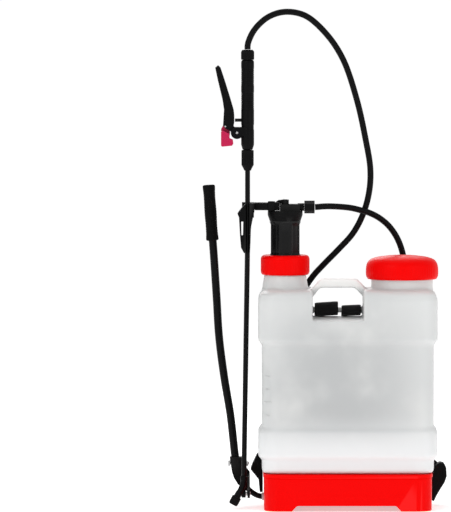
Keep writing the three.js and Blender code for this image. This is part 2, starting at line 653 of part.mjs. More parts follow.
for (const strap of STRAPS) {
  const { side, lean } = strap;
  const padX = (strap.loopX[0] + strap.loopX[1]) / 2 + lean * 0.36 * 214;
  const hookX = lean * 178;
  const slope = outline([
    [padX - 13, WEBBING.top],
    [padX + 13, WEBBING.top],
    [hookX + 13, WEBBING.foot],
    [hookX - 13, WEBBING.foot],
  ]);
  const share = (WEBBING.top - WEBBING.buckleZ) / (WEBBING.top - WEBBING.foot);
  const bite = { x: padX + (hookX - padX) * share, z: WEBBING.buckleZ };
  const frame = block([bite.x - 20, bite.x + 20], [100, 111], [bite.z - 11, bite.z + 11]);
  const way = prism(slope, [103, 108]);
  add(sprayer, "strap_loop_" + side, strapLoop(strap), webbing());
  add(sprayer, "shoulder_pad_" + side, shoulderPad(strap), padCloth());
  add(sprayer, "lower_webbing_" + side, prism(slope, [103.8, 107]), webbing());
  add(sprayer, "strap_buckle_" + side, cut(frame, way), blackPlastic());
}

const HOOK_Y = [60, 103.4];
const hookOutlines = {
  left: [
    [-169.8, 27],
    [-176, 27],
    [-178.5, 53],
    [-194.5, 73],
    [-190.5, 84],
    [-181, 104],
    [-172.6, 104],
    [-172.6, 75],
    [-169.8, 74],
  ],
  right: [
    [169.8, 12],
    [174.5, 7],
    [181, 21],
    [187, 31],
    [197, 47],
    [201, 59],
    [200, 76],
    [195, 85],
    [186.5, 87],
    [178, 80.5],
    [172.6, 75.5],
    [169.8, 74],
  ],
};
for (const [side, points] of Object.entries(hookOutlines)) {
  add(sprayer, "strap_hook_" + side, prism(outline(points), HOOK_Y), blackPlastic());
}

sprayer.position.set(-FOOTPRINT_MIDDLE.x, -FOOTPRINT_MIDDLE.y, 0);

export default sprayer;
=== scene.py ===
import math

import bmesh
import bpy
import numpy as np
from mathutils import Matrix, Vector


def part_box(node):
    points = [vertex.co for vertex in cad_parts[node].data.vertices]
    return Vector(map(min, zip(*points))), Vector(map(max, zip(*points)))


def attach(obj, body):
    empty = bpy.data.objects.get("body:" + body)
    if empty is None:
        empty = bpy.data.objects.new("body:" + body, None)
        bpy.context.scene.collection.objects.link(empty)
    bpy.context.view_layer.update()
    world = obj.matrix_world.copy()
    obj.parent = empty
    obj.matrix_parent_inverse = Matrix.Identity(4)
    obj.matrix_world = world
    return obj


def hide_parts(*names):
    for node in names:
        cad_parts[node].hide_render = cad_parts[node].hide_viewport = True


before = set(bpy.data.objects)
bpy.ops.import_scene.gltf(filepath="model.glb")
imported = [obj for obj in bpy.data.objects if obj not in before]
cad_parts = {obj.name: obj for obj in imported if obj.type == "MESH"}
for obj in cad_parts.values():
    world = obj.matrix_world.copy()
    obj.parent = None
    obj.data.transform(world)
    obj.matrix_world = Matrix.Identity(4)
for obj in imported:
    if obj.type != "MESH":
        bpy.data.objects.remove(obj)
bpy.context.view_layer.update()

# Floor, light and camera: a wide pale floor under large soft lamps, seen from straight in front and
# a little above, from so far away that upright edges stay upright.
tank_low, tank_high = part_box("tank")
MIDDLE = np.array([(tank_low.x + tank_high.x) / 2, (tank_low.y + tank_high.y) / 2, 0.0])
VIEW_HEIGHT = 1.024
LENS = 600.0
SENSOR = 36.0
AIM = MIDDLE + np.array([-0.245, -0.045, 0.509])
ELEVATION = math.radians(3.0)
reach = VIEW_HEIGHT * LENS / SENSOR
eye = AIM + reach * np.array([0.0, -math.cos(ELEVATION), math.sin(ELEVATION)])

camera = bpy.data.objects.new("camera", bpy.data.cameras.new("camera"))
bpy.context.scene.collection.objects.link(camera)
camera.data.lens = LENS
camera.data.sensor_width = SENSOR
camera.data.clip_end = 200.0
camera.location = Vector(eye)
camera.rotation_euler = (math.pi / 2 - ELEVATION, 0.0, 0.0)
bpy.context.scene.camera = camera


def make_piece(name, points, faces, sharp=35.0, flip_check=True):
    """A mesh object from points and faces: doubles merged, faces turned outward, smooth except for
    the edges whose faces meet at more than the sharp angle."""
    mesh = bpy.data.meshes.new(name)
    mesh.from_pydata(np.asarray(points, float).reshape(-1, 3).tolist(), [], faces)
    work = bmesh.new()
    work.from_mesh(mesh)
    bmesh.ops.remove_doubles(work, verts=work.verts, dist=2e-6)
    bmesh.ops.dissolve_degenerate(work, edges=work.edges, dist=1e-7)
    if flip_check:
        bmesh.ops.recalc_face_normals(work, faces=work.faces)
    work.to_mesh(mesh)
    work.free()
    mesh.polygons.foreach_set("use_smooth", np.ones(len(mesh.polygons), bool))
    mesh.set_sharp_from_angle(angle=math.radians(sharp))
    piece = bpy.data.objects.new(name, mesh)
    bpy.context.scene.collection.objects.link(piece)
    return piece


FLOOR_REACH = 90.0
corners = [(-1, -1), (1, -1), (1, 1), (-1, 1)]
FLOOR_Z = -0.0006
floor_points = [(FLOOR_REACH * x, FLOOR_REACH * y, FLOOR_Z) for x, y in corners]
floor = make_piece("floor", floor_points, [[0, 1, 2, 3]], flip_check=False)
floor_paint = bpy.data.materials.new("floor_paint")
floor_paint.use_nodes = True
floor_shader = floor_paint.node_tree.nodes["Principled BSDF"]
floor_values = {"Base Color": (0.9, 0.9, 0.9, 1), "Roughness": 0.9, "Specular IOR Level": 0.0,
                "Emission Color": (1, 1, 1, 1), "Emission Strength": 0.46}
for socket, value in floor_values.items():
    floor_shader.inputs[socket].default_value = value
floor.data.materials.append(floor_paint)

LAMPS = [
    ("key_lamp", (-2.2, -3.4, 2.4), 2.6, 42.0),
    ("fill_lamp", (2.8, -3.0, 1.4), 3.0, 26.0),
    ("top_lamp", (0.0, 0.4, 3.4), 3.0, 24.0),
    ("back_lamp", (-0.6, 3.0, 2.0), 2.4, 26.0),
]
for name, place, size, power in LAMPS:
    lamp = bpy.data.objects.new(name, bpy.data.lights.new(name, "AREA"))
    bpy.context.scene.collection.objects.link(lamp)
    lamp.data.shape = "DISK"
    lamp.data.size = size
    lamp.data.energy = power
    lamp.location = place
    lamp.rotation_euler = (Vector((0, 0, 0.4)) - Vector(place)).to_track_quat("-Z", "Y").to_euler()
world = bpy.data.worlds.new("studio")
bpy.context.scene.world = world
world.use_nodes = True
world.node_tree.nodes["Background"].inputs["Color"].default_value = (1, 1, 1, 1)
world.node_tree.nodes["Background"].inputs["Strength"].default_value = 0.62
bpy.context.scene.view_settings.view_transform = "Standard"


# Hose: 12.5 mm reinforced rubber hose from the nut on the pump head, round behind the lid and down
# behind the tank, then up and over in one wide bend into the nut on top of the spray handle.
HOSE_DIAMETER = 0.0125
HOSE_ROUTE = [
    (-0.0655, 0.0, 0.605), (-0.060, 0.0002, 0.6052), (-0.050, 0.0025, 0.606),
    (-0.034, 0.009, 0.606), (0.004, 0.035, 0.602), (0.024, 0.049, 0.597),
    (0.044, 0.062, 0.5905), (0.064, 0.073, 0.580), (0.084, 0.082, 0.563),
    (0.101, 0.089, 0.538), (0.112, 0.094, 0.508), (0.118, 0.098, 0.470),
    (0.119, 0.099, 0.430), (0.114, 0.099, 0.385), (0.098, 0.099, 0.345),
    (0.070, 0.099, 0.316), (0.030, 0.099, 0.302), (-0.010, 0.099, 0.304),
    (-0.048, 0.099, 0.320), (-0.076, 0.099, 0.352), (-0.091, 0.099, 0.395),
    (-0.086, 0.099, 0.432), (-0.070, 0.098, 0.459), (-0.044, 0.093, 0.488),
    (-0.016, 0.086, 0.517), (0.012, 0.077, 0.549), (0.032, 0.067, 0.588),
    (0.044, 0.056, 0.634), (0.046, 0.047, 0.680), (0.036, 0.036, 0.741),
    (0.018, 0.025, 0.821), (-0.010, 0.013, 0.902), (-0.044, 0.003, 0.953),
    (-0.086, -0.007, 0.989), (-0.126, -0.013, 0.9965), (-0.160, -0.017, 0.986),
    (-0.187, -0.0195, 0.961), (-0.199, -0.020, 0.937), (-0.2008, -0.020, 0.928),
    (-0.2008, -0.020, 0.9216),
]


def smooth_line(route, steps):
    """A cubic through every point, whose slope at a point blends the chords on both sides by the root
    of their lengths; steps + 1 points come back, evenly spaced in the curve's own parameter."""
    route = np.asarray(route, float)
    gap = np.sqrt(np.linalg.norm(np.diff(route, axis=0), axis=1))[:, None]
    knot = np.concatenate([[0], np.cumsum(gap)])
    rate = np.diff(route, axis=0) / gap
    inner = rate[:-1] + rate[1:] - (route[2:] - route[:-2]) / (gap[:-1] + gap[1:])
    slope = np.concatenate([rate[:1], inner, rate[-1:]])
    where = np.linspace(0, knot[-1], steps + 1)
    i = np.clip(np.searchsorted(knot, where, side="right") - 1, 0, len(gap) - 1)
    t = ((where - knot[i]) / gap[i, 0])[:, None]
    ends = (2 * t**3 - 3 * t**2 + 1) * route[i] + (3 * t**2 - 2 * t**3) * route[i + 1]
    lean = (t**3 - 2 * t**2 + t) * slope[i] + (t**3 - t**2) * slope[i + 1]
    return ends + lean * gap[i]


def new_finish(name, color, roughness, specular=0.5, metallic=0.0):
    """A material with its shader's plain values set; returns it with its nodes, links and shader."""
    material = bpy.data.materials.new(name)
    material.use_nodes = True
    shader = material.node_tree.nodes["Principled BSDF"]
    shader.inputs["Base Color"].default_value = (*color, 1)
    shader.inputs["Roughness"].default_value = roughness
    shader.inputs["Metallic"].default_value = metallic
    shader.inputs["Specular IOR Level"].default_value = specular
    return material, material.node_tree.nodes, material.node_tree.links, shader


def add_node(nodes, kind, **values):
    """A new shader node with plain values in its sockets; an underscore in a name stands for a space."""
    node = nodes.new("ShaderNode" + kind)
    for socket, value in values.items():
        node.inputs[socket.replace("_", " ")].default_value = value
    return node


def grain_group():
    """Noise at two sizes, read at the piece's own place: the fine one as a bumped normal and a mask,
    the broad one as a mask, and the two together as a scuffed roughness between two values."""
    group = bpy.data.node_groups.new("moulded_grain", "ShaderNodeTree")
    wanted = {"Grain Scale": 900.0, "Depth": 0.3, "Broad Scale": 14.0, "Smooth": 0.3, "Rough": 0.5}
    for socket, value in wanted.items():
        entry = group.interface.new_socket(socket, in_out="INPUT", socket_type="NodeSocketFloat")
        entry.default_value = value
    group.interface.new_socket("Normal", in_out="OUTPUT", socket_type="NodeSocketVector")
    for socket in ("Fine", "Broad", "Roughness"):
        group.interface.new_socket(socket, in_out="OUTPUT", socket_type="NodeSocketFloat")
    nodes, links = group.nodes, group.links
    inside, outside = nodes.new("NodeGroupInput"), nodes.new("NodeGroupOutput")
    where = nodes.new("ShaderNodeTexCoord").outputs["Object"]
    fine, broad = add_node(nodes, "TexNoise", Detail=3.0), add_node(nodes, "TexNoise", Detail=5.0)
    bump = add_node(nodes, "Bump", Distance=0.0003)
    spread = add_node(nodes, "MapRange", From_Min=0.35, From_Max=0.65)
    for start, end in (
        (where, fine.inputs["Vector"]), (where, broad.inputs["Vector"]),
        (inside.outputs["Grain Scale"], fine.inputs["Scale"]),
        (inside.outputs["Broad Scale"], broad.inputs["Scale"]),
        (inside.outputs["Depth"], bump.inputs["Strength"]), (fine.outputs["Fac"], bump.inputs["Height"]),
        (broad.outputs["Fac"], spread.inputs["Value"]), (inside.outputs["Smooth"], spread.inputs["To Min"]),
        (inside.outputs["Rough"], spread.inputs["To Max"]), (bump.outputs["Normal"], outside.inputs["Normal"]),
        (fine.outputs["Fac"], outside.inputs["Fine"]), (broad.outputs["Fac"], outside.inputs["Broad"]),
        (spread.outputs["Result"], outside.inputs["Roughness"]),
    ):
        links.new(start, end)
    return group


GRAIN = grain_group()


def mix_colors(nodes, links, mask, dark, light):
    """The colour between two, by a mask; either colour may be another node's output."""
    blend = nodes.new("ShaderNodeMix")
    blend.data_type = "RGBA"
    links.new(mask, blend.inputs["Factor"])
    for socket, color in ((blend.inputs[6], dark), (blend.inputs[7], light)):
        if isinstance(color, tuple):
            socket.default_value = (*color, 1)
        else:
            links.new(color, socket)
    return blend.outputs[2]


def map_mask(nodes, links, value, low, high):
    """A mask that runs from 0 to 1 as a value runs from low to high."""
    span = add_node(nodes, "MapRange", From_Min=low, From_Max=high)
    span.interpolation_type = "SMOOTHSTEP"
    links.new(value, span.inputs["Value"])
    return span.outputs["Result"]


def grained_finish(
        name, dark, light, smooth, rough, scale, depth, broad, specular=0.5, metallic=0.0, edge_wear_and_highlight=None):
    """A moulded or coated finish: colour from the fine grain, roughness from the broad one, and, where an edge
    colour is given, that colour along edges that stand out, as edge wear and as painted highlight."""
    material, nodes, links, shader = new_finish(name, light, rough, specular, metallic)
    grain = nodes.new("ShaderNodeGroup")
    grain.node_tree = GRAIN
    settings = {"Grain Scale": scale, "Depth": depth, "Broad Scale": broad, "Smooth": smooth, "Rough": rough}
    for socket, value in settings.items():
        grain.inputs[socket].default_value = value
    color = mix_colors(nodes, links, map_mask(nodes, links, grain.outputs["Fine"], 0.35, 0.65), dark, light)
    if edge_wear_and_highlight:
        shape = nodes.new("ShaderNodeNewGeometry")
        edge = map_mask(nodes, links, shape.outputs["Pointiness"], 0.53, 0.6)
        color = mix_colors(nodes, links, edge, color, edge_wear_and_highlight)
    links.new(color, shader.inputs["Base Color"])
    links.new(grain.outputs["Roughness"], shader.inputs["Roughness"])
    links.new(grain.outputs["Normal"], shader.inputs["Normal"])
    return material


hose_rubber = grained_finish(
    "hose_rubber", (0.0015, 0.0015, 0.0017), (0.004, 0.004, 0.0043), 0.3, 0.46, 500, 0.25, 40, specular=0.07)
hose_line = smooth_line(np.array(HOSE_ROUTE) + MIDDLE, 320)
hose_curve = bpy.data.curves.new("spray_hose", "CURVE")
hose_curve.dimensions = "3D"
hose_curve.bevel_depth = HOSE_DIAMETER / 2
hose_curve.bevel_resolution = 7
hose_curve.use_fill_caps = True
hose_spline = hose_curve.splines.new("POLY")
hose_spline.points.add(len(hose_line) - 1)
hose_spline.points.foreach_set("co", np.hstack([hose_line, np.ones((len(hose_line), 1))]).ravel())
hose_spline.use_smooth = True
hose = bpy.data.objects.new("spray_hose", hose_curve)
bpy.context.scene.collection.objects.link(hose)
hose.data.materials.append(hose_rubber)
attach(hose, "frame")
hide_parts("hose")


# Tank: one blow-moulded shell of milky polyethylene, with two wide bands for stiffness, a hand channel
# right through it below the carrying bar, a bar for the straps, and a neck for the pump and the filler.
def place(points):
    """Millimetres from the middle of the tank's foot, as metres in the part's own frame."""
    return MIDDLE + 0.001 * np.asarray(points, float)


def grid_faces(rows, columns, closed_rows=False, caps=True):
    """Quads between the rows of a grid whose columns run round and close, with a face over each end."""
    row = np.arange(rows if closed_rows else rows - 1)[:, None]
    column = np.arange(columns)[None, :]
    beside = (column + 1) % columns
    above = (row + 1) % rows
    quads = np.stack([row * columns + column, row * columns + beside, above * columns + beside,
                      above * columns + column], -1).reshape(-1, 4).tolist()
    if caps and not closed_rows:
        quads += [list(range(columns))[::-1], list(range((rows - 1) * columns, rows * columns))]
    return quads


def loft(name, rings, sharp=35.0, closed=False):
    """A surface through rings of points, one after another, in tank millimetres."""
    rings = np.asarray(rings, float)
    return make_piece(name, place(rings), grid_faces(len(rings), rings.shape[1], closed), sharp)


def rounded_ring(half_x, half_y, corner, arc=14):
    """Points round a rectangle with quarter-circle corners; each of the three sizes is an array, with
    one value for each ring."""
    half_x, half_y, corner = (np.atleast_1d(np.asarray(v, float))[:, None] for v in (half_x, half_y, corner))
    quarters = []
    for number, (side_x, side_y) in enumerate(((1, 1), (-1, 1), (-1, -1), (1, -1))):
        turn = np.linspace(0, np.pi / 2, arc + 1)[None, :] + number * np.pi / 2
        x = side_x * (half_x - corner) + corner * np.cos(turn)
        y = side_y * (half_y - corner) + corner * np.sin(turn)
        quarters.append(np.stack([x, y], -1))
    return np.concatenate(quarters, 1)


def stacked_rings(levels, arc=14):
    """Rounded rectangles one above another; each level is height, half width, half depth and corner."""
    height, half_x, half_y, corner = np.asarray(levels, float).T
    flat = rounded_ring(half_x, half_y, corner, arc)
    return np.concatenate([flat, np.broadcast_to(height[:, None, None], flat.shape[:2] + (1,))], 2)


def lathe_rings(profile, centre=(0.0, 0.0), sides=96, ribs=None):
    """A profile of radius and height turned about an upright line; ribs, where given, is a function of
    radius, height and angle that returns the radius there."""
    radius, height = np.asarray(profile, float).T
    turn = np.linspace(0, 2 * np.pi, sides, endpoint=False)
    around = np.broadcast_to(radius[:, None], (len(radius), sides))
    if ribs:
        around = ribs(radius[:, None], height[:, None], turn[None, :])
    x = centre[0] + around * np.cos(turn)
    y = centre[1] + around * np.sin(turn)
    return np.stack([x, y, np.broadcast_to(height[:, None], x.shape)], -1)


def eased(points, radius, steps=4, closed=False):
    """A line through corner points, each corner replaced by a curve that starts and ends a radius away
    from it, or half an edge where that is less."""
    points = np.asarray(points, float)
    line = []
    for i, corner in enumerate(points):
        if not closed and i in (0, len(points) - 1):
            line.append(corner)
            continue
        before, after = points[i - 1] - corner, points[(i + 1) % len(points)] - corner
        a = corner + before * min(0.5, radius / max(np.linalg.norm(before), 1e-9))
        b = corner + after * min(0.5, radius / max(np.linalg.norm(after), 1e-9))
        t = np.linspace(0, 1, steps + 1)[:, None]
        line.extend((1 - t) ** 2 * a + 2 * t * (1 - t) * corner + t**2 * b)
    return np.array(line)


def slab_rings(outline, span, across="y"):
    """The two ends of a flat piece: its outline stands in X and Z, or in Y and Z, between two depths."""
    outline = np.asarray(outline, float)
    ends = []
    for depth in span:
        fixed = np.full(len(outline), float(depth))
        first, up = outline.T
        ends.append(np.stack((first, fixed, up) if across == "y" else (fixed, first, up), -1))
    return np.array(ends)


def apply_modifiers(piece):
    """The piece keeps the mesh that its modifiers make."""
    graph = bpy.context.evaluated_depsgraph_get()
    made = bpy.data.meshes.new_from_object(piece.evaluated_get(graph))
    piece.modifiers.clear()
    piece.data = made
    return piece


def combine(piece, *tools, operation="DIFFERENCE"):
    """Cuts the tools from the piece, or joins them to it, and throws the tools away."""
    for tool in tools:
        change = piece.modifiers.new("shape", "BOOLEAN")
        change.operation = operation
        change.solver = "EXACT"
        change.object = tool
        apply_modifiers(piece)
        bpy.data.objects.remove(tool)
    return piece


def round_edges(piece, width, segments=3):
    """Rounds each edge whose faces meet at more than 38 degrees."""
    edges = piece.modifiers.new("edges", "BEVEL")
    edges.width = 0.001 * width
    edges.segments = segments
    edges.limit_method = "ANGLE"
    edges.angle_limit = math.radians(38)
    edges.use_clamp_overlap = True
    edges.harden_normals = False
    return piece


def fit(piece, body, material, slot, *nodes):
    """Gives a finished piece its material, its body and the nodes that it stands in for; its slot is not used.
    """
    piece.data.materials.clear()
    piece.data.materials.append(material)
    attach(piece, body)
    if nodes:
        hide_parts(*nodes)
    return piece


def distance_from(nodes, links, where, centre, scale):
    """The length of the way from a centre in X and Z to the place, each direction in its own scale."""
    shift = add_node(nodes, "Mapping", Location=(-centre[0] * scale[0], 0, -centre[1] * scale[1]),
                     Scale=(scale[0], 0, scale[1]))
    length = add_node(nodes, "VectorMath")
    length.operation = "LENGTH"
    links.new(where, shift.inputs["Vector"])
    links.new(shift.outputs["Vector"], length.inputs[0])
    return length.outputs["Value"]


def tank_finish():
    """Milky polyethylene: light grey and clouded, darkened in the middle by painted shade, whiter at the foot,
    and whiter still on the carrying bar by painted light through its thin wall, with a faint parting line
    round the middle of its depth."""
    material, nodes, links, shader = new_finish("tank_plastic", (0.74, 0.76, 0.75), 0.36, 0.35)
    shader.subsurface_method = "RANDOM_WALK"
    shader.inputs["Subsurface Weight"].default_value = 0.35
    shader.inputs["Subsurface Radius"].default_value = (1.0, 1.0, 1.0)
    shader.inputs["Subsurface Scale"].default_value = 0.012
    where = nodes.new("ShaderNodeTexCoord").outputs["Object"]
    cloud = add_node(nodes, "TexNoise", Scale=9.0, Detail=3.0)
    fine = add_node(nodes, "TexNoise", Scale=60.0, Detail=4.0)
    split = add_node(nodes, "SeparateXYZ")
    for node in (cloud, fine, split):
        links.new(where, node.inputs["Vector"])

    # Painted shade: a broad darkening over the middle of the front and back, in place of the shade of the pump
    # and straps behind the milky wall.
    painted_shade_distance = distance_from(nodes, links, where, (MIDDLE[0] - 0.02, 0.245), (5.4, 4.4))
    middle = map_mask(nodes, links, painted_shade_distance, 1.35, 0.2)
    base = mix_colors(nodes, links, middle, (0.66, 0.67, 0.667), (0.46, 0.472, 0.475))
    clouds = map_mask(nodes, links, cloud.outputs["Fac"], 0.4, 0.9)
    soft = mix_colors(nodes, links, clouds, base, (0.67, 0.675, 0.665))
    low = map_mask(nodes, links, split.outputs["Z"], 0.2, 0.11)
    foot = mix_colors(nodes, links, low, soft, (0.75, 0.76, 0.765))
    # Painted light: the carrying bar is whitened as if lit through its thin wall.
    from_bar = distance_from(nodes, links, where, (MIDDLE[0] - 0.019, 0.46), (16, 45))
    painted_backlight_mask = map_mask(nodes, links, from_bar, 1.3, 0.8)
    links.new(mix_colors(nodes, links, painted_backlight_mask, foot, (0.86, 0.865, 0.85)), shader.inputs["Base Color"])

    across, size, height = (add_node(nodes, "Math") for _ in range(3))
    across.operation = "SUBTRACT"
    across.inputs[1].default_value = MIDDLE[1]
    links.new(split.outputs["Y"], across.inputs[0])
    size.operation = "ABSOLUTE"
    links.new(across.outputs["Value"], size.inputs[0])
    height.operation = "MULTIPLY_ADD"
    height.inputs[1].default_value = 0.8
    links.new(fine.outputs["Fac"], height.inputs[0])
    links.new(map_mask(nodes, links, size.outputs["Value"], 0.0009, 0.0002), height.inputs[2])
    bump = add_node(nodes, "Bump", Strength=0.5, Distance=0.0006)
    links.new(height.outputs["Value"], bump.inputs["Height"])
    links.new(bump.outputs["Normal"], shader.inputs["Normal"])
    gloss = add_node(nodes, "MapRange", To_Min=0.3, To_Max=0.45)
    links.new(cloud.outputs["Fac"], gloss.inputs["Value"])
    links.new(gloss.outputs["Result"], shader.inputs["Roughness"])
    return material


PUMP_X, FILLER_X = -125.4, 109.0
WAIST_X, WAIST_Y, WAIST_CORNER = 172.0, 84.0, 34.0
BAND_X, BAND_Y, BAND_CORNER = 179.5, 90.0, 36.0
waist, band = (WAIST_X, WAIST_Y, WAIST_CORNER), (BAND_X, BAND_Y, BAND_CORNER)
tank_levels = [
    (74.6, 168, 80, 31), (80, *waist), (101, *waist), (109, *band), (158, *band), (166, *waist),
    (331, *waist), (341, *band), (421, *band), (432, 176, 87, 35), (438, 167, 79, 30), (441, 158, 70, 24),
]
tank_shape = loft("tank_shell", stacked_rings(tank_levels))
channel = loft("channel", slab_rings([(-71, 381), (31, 381), (31, 520), (-71, 520)], (-110, 110)))
filler_bore = loft("filler_bore", lathe_rings([(57, 424), (57, 520)], (FILLER_X, 0)))
pump_bore = loft("pump_bore", lathe_rings([(37, 424), (37, 520)], (PUMP_X, 0)))
tank_shape = combine(tank_shape, channel, filler_bore, pump_bore)
filler_wall = [(57, 434), (62.5, 434), (62, 446), (62, 494), (57, 494)]
pump_wall = [(37, 430), (49, 430), (46.5, 442), (42, 468.5), (40, 470), (40, 488), (37, 488)]
filler_neck = loft("filler_neck", lathe_rings(filler_wall, (FILLER_X, 0)), closed=True)
pump_neck = loft("pump_neck", lathe_rings(pump_wall, (PUMP_X, 0)), closed=True)
bar_outline = [(-84, 426), (-84, 436), (-72, 442), (-54, 461.5), (18, 461.5), (37, 442), (46, 436),
               (46, 426), (31, 426), (14, 443.5), (-56, 443.5), (-69, 426)]
carry_bar = loft("carry_bar", slab_rings(eased(bar_outline, 4, closed=True), (-16.5, 16.5)))
strap_bar_outline = [(-75, 389.7), (35, 389.7), (35, 400.3), (-75, 400.3)]
strap_bar = loft("strap_bar", slab_rings(strap_bar_outline, (52.2, 65.8)))
tank_shape = combine(tank_shape, filler_neck, pump_neck, carry_bar, strap_bar, operation="UNION")
blow = tank_shape.modifiers.new("skin", "REMESH")
blow.mode = "VOXEL"
blow.voxel_size = 0.0027
blow.use_smooth_shade = True
relax = tank_shape.modifiers.new("relax", "SMOOTH")
relax.factor = 0.5
relax.iterations = 7
apply_modifiers(tank_shape)
tank_plastic = tank_finish()
fit(tank_shape, "frame", tank_plastic, "tank_plastic", "tank")

# Level marks: five short ribs moulded on the tank's front corner, the middle one longer than the rest.
# Each is a thin oval rod that follows the corner.
MARK_HEIGHTS = np.arange(5) * 26.0 + 166.0
MARK_TURN = math.radians(228)
section = np.linspace(0, 2 * np.pi, 8, endpoint=False)
corner_centre = np.array([WAIST_CORNER - WAIST_X, WAIST_CORNER - WAIST_Y])
for number, height in enumerate(MARK_HEIGHTS):
    half_length = math.radians(15 if number == 2 else 9)
    turn = MARK_TURN + half_length * np.linspace(-1, 1, 12)
    outward = np.stack([np.cos(turn), np.sin(turn)], -1)
    centre_line = corner_centre + (WAIST_CORNER + 0.2) * outward
    flat = centre_line[:, None, :] + 0.7 * np.cos(section)[None, :, None] * outward[:, None, :]
    upright = np.broadcast_to((height + 0.9 * np.sin(section))[None, :, None], (12, 8, 1))
    mark = loft("level_mark_%d" % (number + 1), np.concatenate([flat, upright], 2), 80)
    fit(mark, "frame", tank_plastic, "tank_plastic")


# Base: an injection-moulded skirt that the tank sits on, with a raised lip round its top, a wide arch
# between its feet front and back, and a hollow where the pump's shaft turns.
red_plastic = grained_finish(
    "red_plastic", (0.79, 0.0001, 0.0001), (0.84, 0.0003, 0.0003), 0.3, 0.44, 700, 0.12, 16,
    specular=0.045, edge_wear_and_highlight=(0.9, 0.012, 0.012))
SKIRT_X, SKIRT_Y = 169.5, 92.5
SHAFT_Y, SHAFT_Z = 55.0, 19.0
SHAFT_WAY_RADIUS = 8.0
base_levels = [(height, SKIRT_X - inset, SKIRT_Y - inset, corner) for height, inset, corner in (
    (0, 3, 31), (1.6, 1.6, 33), (64.2, 1.3, 34), (65, 2.2, 33.5), (66.2, 2.2, 33.5), (67, 0, 35),
    (72.6, 0, 35), (73.8, 1.2, 34))]
skirt = loft("base_skirt", stacked_rings(base_levels, 18))
hollow = loft("hollow", stacked_rings([(4, 164, 87, 30), (69.5, 164, 87, 30)]))
arch_outline = eased([(-120, -6), (-112.5, 0), (-102, 11), (96, 11), (106.5, 0), (114, -6)], 3)
arch = loft("arch", slab_rings(arch_outline, (-110, 110)))


def shaft_way(x_low, x_high):
    """A cylinder along X on the shaft's line, to cut the way for it."""
    turn = np.linspace(0, 2 * np.pi, 32, endpoint=False)
    y, z = SHAFT_Y + SHAFT_WAY_RADIUS * np.cos(turn), SHAFT_Z + SHAFT_WAY_RADIUS * np.sin(turn)
    return loft("shaft_way", [np.stack([np.full(32, x), y, z], -1) for x in (x_low, x_high)])


skirt = combine(skirt, hollow, arch, shaft_way(-180.0, -150.0))
fit(round_edges(skirt, 0.7, 2), "frame", red_plastic, "red_plastic", "base")
bearing_outline = eased([(41, 8), (69, 8), (69, 70), (41, 70)], 3, closed=True)
bearing = combine(loft("base_bearing", slab_rings(bearing_outline, (24, 34), "x")), shaft_way(20.0, 40.0))
fit(round_edges(bearing, 0.7, 2), "frame", red_plastic, "red_plastic")


# Lid: a domed screw lid for the filler neck, with fine ribs round its edge for the grip and a skirt
# inside that the thread is on. It turns, then lifts off with its gasket.
def grip_ribs(count, depth, low, high, soft=3.0):
    """Ribs round a turned piece: the radius falls by the depth between them, by a cosine of the angle,
    and fades out over the soft distance at the low and high ends."""
    def ribbed(radius, height, turn):
        window = np.clip((height - low) / soft, 0, 1) * np.clip((high - height) / soft, 0, 1)
        return radius - depth * window * (0.5 - 0.5 * np.cos(count * turn)) * (radius > 0.6 * radius.max())
    return ribbed


lid_corners = [(69, 461), (72, 465), (73, 473), (72.4, 485), (70.5, 493), (64.5, 500.5), (50, 505.2),
               (26, 508.2), (0, 509)]
lid_outside = eased(lid_corners, 6, 5)
lid_inside = [(0, 500.2), (61.4, 500.2), (63.5, 496.7), (63.5, 461.4), (64, 461), (68.6, 461)]
lid_profile = np.concatenate([lid_inside, lid_outside])
lid = loft("filler_lid", lathe_rings(lid_profile, (FILLER_X, 0), 288, grip_ribs(72, 0.55, 463, 490, 5)))
fit(lid, "lid", red_plastic, "red_plastic", "lid")

# Ring nut: the deep red nut that clamps the pump's flange on the pump neck.
nut_corners = [(43.2, 469.3), (46.4, 469.3), (49, 474), (49, 503), (45.5, 508.6), (38, 509), (31.9, 509)]
nut_profile = np.concatenate([eased(nut_corners, 3, 4), [(31.9, 498), (42.8, 498), (42.8, 469.7)]])
nut_rings = lathe_rings(nut_profile, (PUMP_X, 0), 240, grip_ribs(60, 0.5, 473, 503, 3))
ring_nut = loft("pump_ring_nut", nut_rings, closed=True)
fit(ring_nut, "ring_nut", red_plastic, "red_plastic", "ring_nut")


# Pump: a black pressure chamber with eight upright ribs stands out of the neck, with a moulded head on
# top that carries the hose outlet on the right and the bracket for the lance on the left.
DARK, BLACK = (0.0012, 0.0012, 0.0014), (0.0035, 0.0035, 0.0038)
black_plastic = grained_finish(
    "black_plastic", DARK, BLACK, 0.34, 0.52, 900, 0.3, 20, specular=0.07, edge_wear_and_highlight=(0.012, 0.012, 0.012))
black_metal = grained_finish(
    "black_metal", DARK, BLACK, 0.26, 0.4, 1400, 0.22, 26, specular=0.09, edge_wear_and_highlight=(0.018, 0.018, 0.018))
# The chamber's light grey edge colour is a painted highlight: it lights the narrow rib crests as light lines.
chamber_plastic = grained_finish(
    "chamber_plastic", DARK, BLACK, 0.2, 0.34, 900, 0.2, 20, specular=0.18, edge_wear_and_highlight=(0.12, 0.12, 0.12))
steel = grained_finish(
    "steel", (0.42, 0.42, 0.42), (0.62, 0.62, 0.62), 0.22, 0.4, 1800, 0.1, 60, metallic=1.0)
brass = grained_finish(
    "brass", (0.5, 0.36, 0.15), (0.72, 0.54, 0.26), 0.24, 0.42, 1500, 0.1, 50, metallic=1.0)
rubber = grained_finish(
    "rubber", (0.0015, 0.0015, 0.0015), (0.005, 0.005, 0.005), 0.55, 0.75, 700, 0.35, 24, specular=0.05)
grey_plastic = grained_finish("grey_plastic", (0.5, 0.51, 0.51), (0.62, 0.63, 0.63), 0.35, 0.5, 800, 0.2, 20)
lock_plastic = grained_finish(
    "lock_plastic", (0.42, 0.002, 0.05), (0.5, 0.005, 0.07), 0.28, 0.4, 800, 0.15, 20, specular=0.25)


